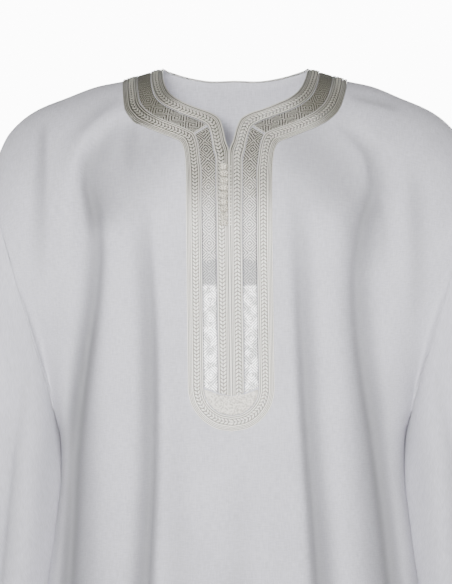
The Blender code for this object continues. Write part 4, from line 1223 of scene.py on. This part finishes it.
class Gathered:
    """The points, faces and looks of one trim, gathered before they become one mesh."""

    def __init__(self):
        self.points, self.faces, self.places, self.looks = [], [], [], []
        self.count = 0

    def add(self, points, faces, places, look):
        self.points.append(points)
        self.places.append(places)
        self.faces.append(faces + self.count)
        self.looks.extend([look] * len(faces))
        self.count += len(points)

    def add_grid(self, grid, places, look, closed=False, inside=BODY_CENTRE):
        """A grid of points, whose faces look away from what is inside."""
        points = grid.reshape(-1, 3)
        faces = turned_out(grid_faces(*grid.shape[:2], closed), points, inside)
        self.add(points, faces, places.reshape(-1, places.shape[-1]), look)

    def add_cord(self, points, normals, radius, look):
        """A round cord along a line."""
        tangent = unit(np.gradient(points, axis=0))
        aside = unit(np.cross(tangent, normals))[:, None]
        angle = np.arange(CORD_SIDES) / CORD_SIDES * 2 * math.pi
        ring = aside * np.cos(angle)[:, None] + normals[:, None] * np.sin(angle)[:, None]
        grid = points[:, None] + ring * np.broadcast_to(radius, len(points))[:, None, None]
        centres = (points[:-1] + points[1:]) / 2
        self.add_grid(grid, flat_places(angle * CORD_RADIUS, lengths_along(points)[:, None]), look,
                      True, centres.repeat(CORD_SIDES, axis=0))

    def piece(self, name, materials):
        mesh = bpy.data.meshes.new(name)
        mesh.from_pydata(np.concatenate(self.points).tolist(), [],
                         [face for faces in self.faces for face in faces.tolist()])
        write_places(mesh, np.concatenate(self.places))
        for material in materials:
            mesh.materials.append(MATERIALS[material])
        numbers = [materials.index(look) for look in self.looks]
        mesh.polygons.foreach_set("material_index", numbers)
        return new_piece(name, mesh)


def strip_between(offsets, middle, spacing, **reach):
    """Points and outward normals of a strip between rails, and how far along each row is."""
    places, along = even_places(rail(middle, **reach)[0], spacing)
    lines = [[read_at(values, places) for values in rail(offset, **reach)] for offset in offsets]
    points, normals = (np.array([line[k] for line in lines]).swapaxes(0, 1) for k in (0, 1))
    return points, unit(normals), along[:, None]


def add_rail_cord(gathered, offset, radius, beads, **reach):
    """A cord laid along a rail. Beads make its radius swell and shrink."""
    points, normals = rail(offset, **reach)
    places, along = even_places(points, CORD_SPACING)
    points, normals = read_at(points, places), unit(read_at(normals, places))
    swell = 1 + beads * np.sin(2 * math.pi * along / BEAD_PITCH)
    gathered.add_cord(points + normals * (TRIM_LIFT + radius * CORD_SEAT), normals, radius * swell, "cord")


def add_braid(gathered, offset, scale, **reach):
    """A plait of leaf-shaped stitches in pairs. Their arms open the way the rail runs."""
    points, normals = rail(offset, **reach)
    places, _ = even_places(points, BRAID_PITCH * scale, BRAID_PITCH * scale / 2)
    direction = unit(read_at(np.gradient(points, axis=0), places))
    points, out = read_at(points, places), unit(read_at(normals, places))
    aside = unit(np.cross(direction, out))
    leaf, faces = leaf_shape()
    for hand in HANDS.values():
        turn = hand * BRAID_ANGLE
        long_way = direction * math.cos(turn) + aside * math.sin(turn)
        wide_way = np.cross(out, long_way)
        size = np.array(BRAID_LEAF) * scale
        centre = (points + aside * hand * BRAID_SPREAD * scale
                  + out * (TRIM_LIFT + BRAID_GROUND + size[2] * BRAID_SEAT))
        shape = sum(way[:, None] * (leaf[:, k] * size[k])[:, None]
                    for k, way in enumerate((long_way, wide_way, out)))
        spots = centre[:, None] + shape
        own = np.concatenate([faces + len(leaf) * k for k in range(len(points))])
        ends = np.broadcast_to(leaf[:, :2] * size[:2], (len(points), len(leaf), 2))
        gathered.add(spots.reshape(-1, 3), own, ends.reshape(-1, 2), "cord")


def leaf_shape():
    """A unit leaf: a rounded lobe with pointed ends, as points and four-cornered faces."""
    around = np.arange(LEAF_SIDES) / LEAF_SIDES * 2 * math.pi
    lengths = np.linspace(-1, 1, LEAF_RINGS)
    radius = np.maximum(1 - np.abs(lengths) ** LEAF_POWER, LEAF_TIP)
    points = np.stack(np.broadcast_arrays(
        lengths[:, None], radius[:, None] * np.cos(around), radius[:, None] * np.sin(around)), axis=-1)
    faces = np.roll(grid_faces(LEAF_RINGS, LEAF_SIDES, True)[:, ::-1], 1, axis=1)
    return points.reshape(-1, 3), faces


def build_braid(label):
    """A braid's ground, its cords and its plait."""
    made = Gathered()
    braid = BRAIDS[label]
    ground = np.array(braid["ground"])
    reach = {"last": braid["last"]}
    points, normals, along = strip_between(ground, ground.mean(), STRIP_SPACING, **reach)
    heights = np.full(len(ground), GROUND_HEIGHT)
    heights[[0, -1]] = 0.0
    grid = points + normals * (TRIM_LIFT + heights)[:, None]
    made.add_grid(grid, flat_places(ground - ground.mean(), along), "ground")
    for cord in braid["cords"]:
        add_rail_cord(made, *cord, **reach)
    add_braid(made, braid["plait"], braid["scale"], **reach)
    return made.piece(label + "_cords", ["ground", "cord"])


def ribbon_height(across, along, half_width):
    """The woven relief: nested diamonds, one after another, with plain turned edges."""
    fold = np.abs((along / DIAMOND_LENGTH) % 1.0 - 0.5) * DIAMOND_LENGTH
    phase = (np.abs(across) + fold) / DIAMOND_PITCH
    relief = RIBBON_RELIEF * (0.5 + 0.5 * np.sin(2 * math.pi * phase))
    inside = ease((half_width - np.abs(across)) / RIBBON_EDGE)
    return (RIBBON_HEIGHT + relief) * inside + RIBBON_EDGE_HEIGHT * (1 - inside)


def build_ribbon(name, stitches, upright=False, **reach):
    """A ribbon's weave, with its cross stitches. An upright one's pattern is level at each height."""
    made = Gathered()
    low, high = RIBBON_OFFSETS
    offsets = np.linspace(low, high, RIBBON_COLUMNS)
    across = offsets - (low + high) / 2
    points, normals, along = strip_between(offsets, (low + high) / 2, RIBBON_SPACING, **reach)
    along = -points[..., 2] if upright else along
    heights = ribbon_height(across, along, (high - low) / 2)
    heights[:, [0, -1]] = 0.0
    made.add_grid(points + normals * (TRIM_LIFT + heights)[..., None], flat_places(across, along), "ribbon")
    for station, hand in stitches:
        add_cross_stitch(made, station, hand)
    return made.piece(name + "_weave", ["ribbon", "stitch"] if stitches else ["ribbon"])


def add_cross_stitch(gathered, station, hand):
    """A satin stitch straight across the ribbon."""
    row = round(station * RAIL_PARTS)
    offsets = np.linspace(*RIBBON_OFFSETS, STITCH_POINTS)
    rails = [half_rail(hand, offset, 0, LAST_STATION) for offset in offsets]
    points, normals = (np.array([line[k][row] for line in rails]) for k in (0, 1))
    lift = TRIM_LIFT + RIBBON_HEIGHT + RIBBON_RELIEF
    gathered.add_cord(points + normals * lift, normals, STITCH_RADIUS, "stitch")


def build_ribbons():
    mitres = [(MITRE - STITCH_INSET, hand) for hand in HANDS.values()]
    pieces = {"neck_ribbon": build_ribbon("neck_ribbon", mitres, last=MITRE - END_INSET)}
    ends = {"left": [], "right": [(PLACKET_END_STATION - STITCH_INSET, 1)]}
    for label, hand in HANDS.items():
        name = "placket_ribbon_" + label
        pieces[name] = build_ribbon(name, ends[label], True, first=MITRE + END_INSET,
                                    last=PLACKET_END_STATION - END_INSET, hand=hand)
    return pieces


def build_patch():
    """The half-moon of plain ribbon at the placket's lower end, ribbed, on its own ground."""
    made = Gathered()
    offsets = np.concatenate([np.linspace(*PATCH_ENDS, PATCH_ROWS), PATCH_SEAM,
                              np.linspace(*PATCH_RIM_ENDS, PATCH_ROWS), PATCH_RIM_ENDS[1:]])
    for hand in HANDS.values():
        lines, places = [], []
        for row, offset in enumerate(offsets):
            points, normals = half_rail(hand, offset, PLACKET_END_STATION + END_INSET, LAST_STATION)
            raised = PATCH_HEIGHT * (offset < BAND_LINES[1]) + GROUND_HEIGHT
            rib = PATCH_RIB * math.sin(2 * math.pi * offset / PATCH_RIB_PITCH)
            height = 0.0 if row == len(offsets) - 1 else raised + rib
            lines.append(points + normals * (TRIM_LIFT + height))
            places.append(np.stack([np.full(len(points), offset), lengths_along(points)], axis=-1))
        made.add_grid(np.array(lines), np.array(places), "patch")
    return made.piece("placket_end_patch_weave", ["patch"])


# ---- Buttons ----


def placket_frame(z):
    """The middle of the placket at a height, and the directions sideways, down and out there."""
    heights = z + FRAME_STEP * np.array([1, 0, -1])
    left, right = (
        np.stack([np.interp(-heights, -line[:, 2], place) for place in line.T], axis=1)
        for line in (half_rail(hand, LOOP_REACH, BACK_NECK_STATIONS, PLACKET_END_STATION)[0]
                     for hand in HANDS.values()))
    middle = (left + right) / 2
    sideways = unit(right[1] - left[1])
    out = unit(np.cross(middle[2] - middle[0], sideways))
    return middle[1], sideways, np.cross(sideways, out), out


def build_buttons():
    """Knotted buttons left of the slit, each in a cord loop sewn on the right of it."""
    pieces = {}
    for number in range(BUTTON_COUNT):
        frame = placket_frame(BUTTON_TOP_Z - number * BUTTON_PITCH)
        turn = BUTTON_TURNS[number % len(BUTTON_TURNS)]
        pieces[f"button_{number + 1}"] = build_knot(f"button_{number + 1}_knot", *frame, turn)
        pieces[f"button_loop_{number + 1}"] = build_loop(f"button_loop_{number + 1}_cord", *frame)
    return pieces


def build_knot(name, middle, sideways, down, out, turn):
    made = Gathered()
    wide, thick, tall = BUTTON_RADII
    height = TRIM_LIFT + BRAID_TOP + 2 * SEAT_GAP + 2 * LOOP_CORD + thick
    centre = middle + sideways * BUTTON_OFFSET + out * height
    around = np.arange(KNOT_SIDES) / KNOT_SIDES * 2 * math.pi
    tilt = np.linspace(-math.pi / 2, math.pi / 2, KNOT_RINGS)[:, None]
    strands = np.maximum(np.sin(KNOT_STRANDS * around + KNOT_TWIST * tilt + turn),
                         np.sin(KNOT_STRANDS * around - KNOT_TWIST * tilt + turn))
    swell = 1 + KNOT_RELIEF * (strands - 1) * np.cos(tilt) ** 0.5
    width = np.cos(tilt) ** KNOT_SQUARENESS
    x, y, z = (swell * width * np.cos(around), swell * width * np.sin(around),
               np.sin(tilt) * np.ones(len(around)))
    grid = (centre + sideways * (x * wide)[..., None] + down * (z * tall)[..., None]
            + out * (y * thick)[..., None])
    made.add_grid(grid, flat_places(around * wide, tilt * tall), "knot", True, centre)
    return made.piece(name, ["knot"])


def build_loop(name, middle, sideways, down, out):
    """A cord loop that lies on the braids: out from the slit's right, round and back."""
    made = Gathered()
    height = TRIM_LIFT + BRAID_TOP + SEAT_GAP + LOOP_CORD
    turn = np.linspace(-math.pi / 2, math.pi / 2, LOOP_TURN_STEPS + 1)
    x = np.concatenate([[LOOP_START], -LOOP_REACH - LOOP_HALF_WIDTH * np.cos(turn), [LOOP_START]])
    y = np.concatenate([[-LOOP_HALF_WIDTH], LOOP_HALF_WIDTH * np.sin(turn), [LOOP_HALF_WIDTH]])
    points = middle + x[:, None] * sideways + y[:, None] * down + out * height
    places, _ = even_places(points, LOOP_SPACING)
    points = read_at(points, places)
    made.add_cord(points, np.broadcast_to(out, points.shape), LOOP_CORD, "cord")
    return made.piece(name, ["cord"])


def build_trims():
    pieces = {**{label: build_braid(label) for label in BRAIDS}, "placket_end_patch": build_patch(),
              **build_ribbons(), **build_buttons()}
    for node, piece in pieces.items():
        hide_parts(node)
    return list(pieces.values())


# ---- Materials ----


class Nodes:
    """A material's node tree, with short names for what the looks are made from."""

    def __init__(self, name):
        self.material = bpy.data.materials.new(name)
        self.material.use_nodes = True
        self.tree = self.material.node_tree
        self.shader = self.tree.nodes["Principled BSDF"]

    def node(self, kind, *values, **settings):
        """A new node, with its settings and the values of its first sockets."""
        made = self.tree.nodes.new("ShaderNode" + kind)
        for name, setting in settings.items():
            setattr(made, name, setting)
        self.fill(made, dict(enumerate(values)))
        return made

    def fill(self, node, values):
        """Give each named or numbered socket its value, its colour or the output it takes."""
        for key, value in values.items():
            if isinstance(value, (int, float)):
                node.inputs[key].default_value = value
            elif isinstance(value, tuple):
                node.inputs[key].default_value = (*value, 1.0)
            else:
                self.tree.links.new(value, node.inputs[key])

    def place(self):
        """Each point's place on its cloth or strip, in metres, as x, y and z; on the cloth, z is the share
        of painted shade.
        """
        return self.split(self.node("Attribute", attribute_name="place").outputs["Vector"])

    def spot(self):
        """The place in the robe's frame."""
        return self.node("TexCoord").outputs["Object"]

    def split(self, vector):
        return tuple(self.node("SeparateXYZ", vector).outputs)

    def join(self, x, y):
        return self.node("CombineXYZ", x, y).outputs[0]

    def math(self, kind, a, b=0.0):
        return self.node("Math", a, b, operation=kind).outputs[0]

    def plus(self, a, b):
        return self.math("ADD", a, b)

    def times(self, a, b):
        return self.math("MULTIPLY", a, b)

    def centred(self, value):
        return self.math("SUBTRACT", value, 0.5)

    def wave(self, value, pitch):
        """A wave from -1 to 1 that repeats every pitch."""
        return self.math("SINE", self.times(value, 2 * math.pi / pitch))

    def noise(self, vector, scale, detail=2.0):
        made = self.node("TexNoise")
        self.fill(made, {"Vector": vector, "Scale": scale, "Detail": detail})
        return made.outputs["Fac"]

    def ranged(self, value, ends):
        """How far a value is from one end to the other, from 0 to 1, eased."""
        return self.node("MapRange", value, *ends, interpolation_type="SMOOTHSTEP").outputs[0]

    def mixed(self, share, first, second):
        made = self.node("Mix", data_type="RGBA")
        self.fill(made, {"Factor": share, 6: first, 7: second})
        return made.outputs[2]

    def bumped(self, height, strength, distance):
        made = self.node("Bump")
        self.fill(made, {"Strength": strength, "Distance": distance, "Height": height})
        self.fill(self.shader, {"Normal": made.outputs["Normal"]})

    def finish(self, colour, roughness, sheen=0.0, metallic=0.0, specular=0.5):
        self.fill(self.shader, {"Base Color": colour, "Roughness": roughness, "Sheen Weight": sheen,
                                "Metallic": metallic, "Specular IOR Level": specular})
        return self.material


def cloth_material():
    """White plain weave with slubs along both threads, and painted shade in its creases and folds."""
    n = Nodes("robe_cloth")
    u, v, painted_shade = n.place()
    slubs = n.plus(*(n.noise(n.join(n.times(u, aside), n.times(v, down)), 1.0, detail=3.0)
                     for aside, down in SLUB_SCALES))
    uneven = n.times(n.noise(n.join(u, v), TONE_SCALE), TONE_SHARE)
    weave = n.times(n.wave(u, THREAD_PITCH), n.wave(v, THREAD_PITCH))
    n.bumped(n.plus(slubs, n.times(weave, WEAVE_SHARE)), strength=0.30, distance=0.0006)
    tone = n.mixed(n.ranged(n.plus(slubs, uneven), TONE_ENDS), CLOTH_SHADE, CLOTH_BRIGHT)
    # Painted shade: the creases' depth darkens the tone towards a grey.
    return n.finish(n.mixed(painted_shade, tone, CLOTH_PAINTED_SHADE), roughness=0.88, sheen=0.10)


def trim_colour(n, tones):
    """A colour with painted shade towards the shoulders, deepest at the band's corners, and on the ribbon a
    painted reflection by height.
    """
    level = n.split(n.spot())[2]
    height = n.plus(level, n.times(n.noise(n.spot(), SHADE_EDGE_SCALE), SHADE_EDGE_DRIFT))
    low = tones["light"]
    # Painted reflection on the ribbon: a mottled painted shine low down, a darker band above it, then the
    # light tone.
    if "dim_reflection" in tones:
        mottle = n.noise(n.spot(), MOTTLE_SCALE)
        uneven = n.plus(level, n.times(n.centred(mottle), MOTTLE_DRIFT))
        painted_shine = n.mixed(n.ranged(mottle, MOTTLE_ENDS), tones["wear_and_dim_shine"], tones["painted_shine"])
        low = n.mixed(n.ranged(uneven, PAINTED_SHINE_ENDS), tones["dim_reflection"], painted_shine)
        low = n.mixed(n.ranged(uneven, DIM_REFLECTION_ENDS), tones["light"], low)
    # Painted shade towards the shoulders, deepest at the band's corners (the corner tone).
    shoulder_shaded = n.mixed(n.ranged(height, TRIM_SHADE_HEIGHTS), low, tones["shoulder_shade"])
    corner = n.plus(height, n.math("ABSOLUTE", n.split(n.spot())[0]))
    return n.mixed(n.ranged(corner, CORNER_SHADE_ENDS), shoulder_shaded, tones["corner"])


def cord_material(name, tones):
    """Twisted silk cord, with painted shade towards the shoulders."""
    n = Nodes(name)
    around, along, _ = n.place()
    strands = n.wave(n.plus(along, n.times(around, TWIST_LEAN)), TWIST_PITCH)
    n.bumped(strands, strength=0.5, distance=0.0003)
    return n.finish(trim_colour(n, tones), roughness=0.36, sheen=0.15, specular=0.8)


def ribbon_material():
    """Metallic thread woven in nested diamonds, with painted reflection and painted shade along its height.
    """
    n = Nodes("silver_ribbon")
    across, along, _ = n.place()
    turn = n.centred(n.math("FRACT", n.math("DIVIDE", along, DIAMOND_LENGTH)))
    fold = n.times(n.math("ABSOLUTE", turn), DIAMOND_LENGTH)
    diamonds = n.wave(n.plus(n.math("ABSOLUTE", across), fold), DIAMOND_PITCH)
    wear_and_dim_shine = n.times(n.centred(n.noise(n.join(across, along), WORN_SCALE)), WORN_SHARE)
    thread = n.ranged(n.plus(diamonds, wear_and_dim_shine), THREAD_ENDS)
    colour = n.mixed(thread, trim_colour(n, GAP), trim_colour(n, THREAD))
    return n.finish(colour, roughness=0.40, metallic=0.2)


def fibre_material(name, colour, shade, roughness=0.6):
    """Plain silk, uneven in tone."""
    n = Nodes(name)
    fibres = n.noise(n.spot(), FIBRE_SCALE)
    n.bumped(fibres, strength=0.4, distance=0.0003)
    return n.finish(n.mixed(n.ranged(fibres, FIBRE_ENDS), shade, colour), roughness, sheen=0.15)


def knot_material():
    n = Nodes("button_silk")
    around, along, _ = n.place()
    fuzz = n.noise(n.join(around, along), KNOT_FUZZ_SCALE)
    n.bumped(fuzz, strength=0.6, distance=0.0004)
    return n.finish(n.mixed(n.ranged(fuzz, KNOT_FUZZ_ENDS), KNOT_GAP, KNOT), roughness=0.6, sheen=0.2)


def floor_material():
    n = Nodes("floor")
    return n.finish(n.mixed(n.noise(n.spot(), FLOOR_GRAIN), FLOOR_SHADE, FLOOR_BRIGHT), roughness=0.9)


def build_stage():
    mesh = bpy.data.meshes.new("floor")
    low = SOLID_BOX[0].z - FLOOR_GAP
    turns = np.linspace(0.0, 2 * math.pi, FLOOR_SIDES, endpoint=False)
    rim = [(FLOOR_RADIUS * math.cos(turn), FLOOR_RADIUS * math.sin(turn), low) for turn in turns]
    mesh.from_pydata(rim, [], [tuple(range(FLOOR_SIDES))])
    floor = bpy.data.objects.new("floor", mesh)
    bpy.context.scene.collection.objects.link(floor)
    floor.data.materials.append(MATERIALS["floor"])


def build_light():
    """Lamps round the robe, and a world that the camera sees brighter than the robe does."""
    world = bpy.data.worlds.new("studio")
    bpy.context.scene.world = world
    world.use_nodes = True
    nodes, links = world.node_tree.nodes, world.node_tree.links
    nodes.clear()
    choose = nodes.new("ShaderNodeMixShader")
    links.new(nodes.new("ShaderNodeLightPath").outputs["Is Camera Ray"], choose.inputs["Fac"])
    for socket, strength in ((1, AMBIENT), (2, BACKDROP)):
        shade = nodes.new("ShaderNodeBackground")
        shade.inputs["Color"].default_value = (1.0, 1.0, 1.0, 1.0)
        shade.inputs["Strength"].default_value = strength
        links.new(shade.outputs["Background"], choose.inputs[socket])
    links.new(choose.outputs["Shader"], nodes.new("ShaderNodeOutputWorld").inputs["Surface"])
    for name, (place, faced, size, power, spread) in LAMPS.items():
        light = bpy.data.lights.new(name, "AREA")
        light.size = size
        light.energy = power
        light.spread = math.radians(spread)
        lamp = bpy.data.objects.new(name, light)
        lamp.location = place
        lamp.rotation_euler = (Vector(faced) - Vector(place)).to_track_quat("-Z", "Y").to_euler()
        lamp.visible_camera = False
        bpy.context.scene.collection.objects.link(lamp)


def build_camera():
    camera = bpy.data.cameras.new("camera")
    camera.sensor_fit = "VERTICAL"
    camera.lens = camera.sensor_height * VIEW_DISTANCE / VIEW_HEIGHT
    made = bpy.data.objects.new("camera", camera)
    made.location = VIEW_CENTRE - Vector((0.0, VIEW_DISTANCE, 0.0))
    made.rotation_euler = (math.pi / 2, 0.0, 0.0)
    bpy.context.scene.collection.objects.link(made)
    bpy.context.scene.camera = made


MATERIALS = {
    "cloth": cloth_material(),
    "cord": cord_material("silk_cord", CORD),
    "ground": cord_material("silk_ground", GROUND),
    "ribbon": ribbon_material(),
    "stitch": fibre_material("stitch_silk", STITCH, STITCH_SHADE, 0.35),
    "patch": fibre_material("plain_ribbon", PATCH, PATCH_SHADE),
    "knot": knot_material(),
    "floor": floor_material(),
}
BAND_PLACES = band_places()

build_camera()
cloth = build_cloth()
trims = build_trims()
build_stage()
build_light()
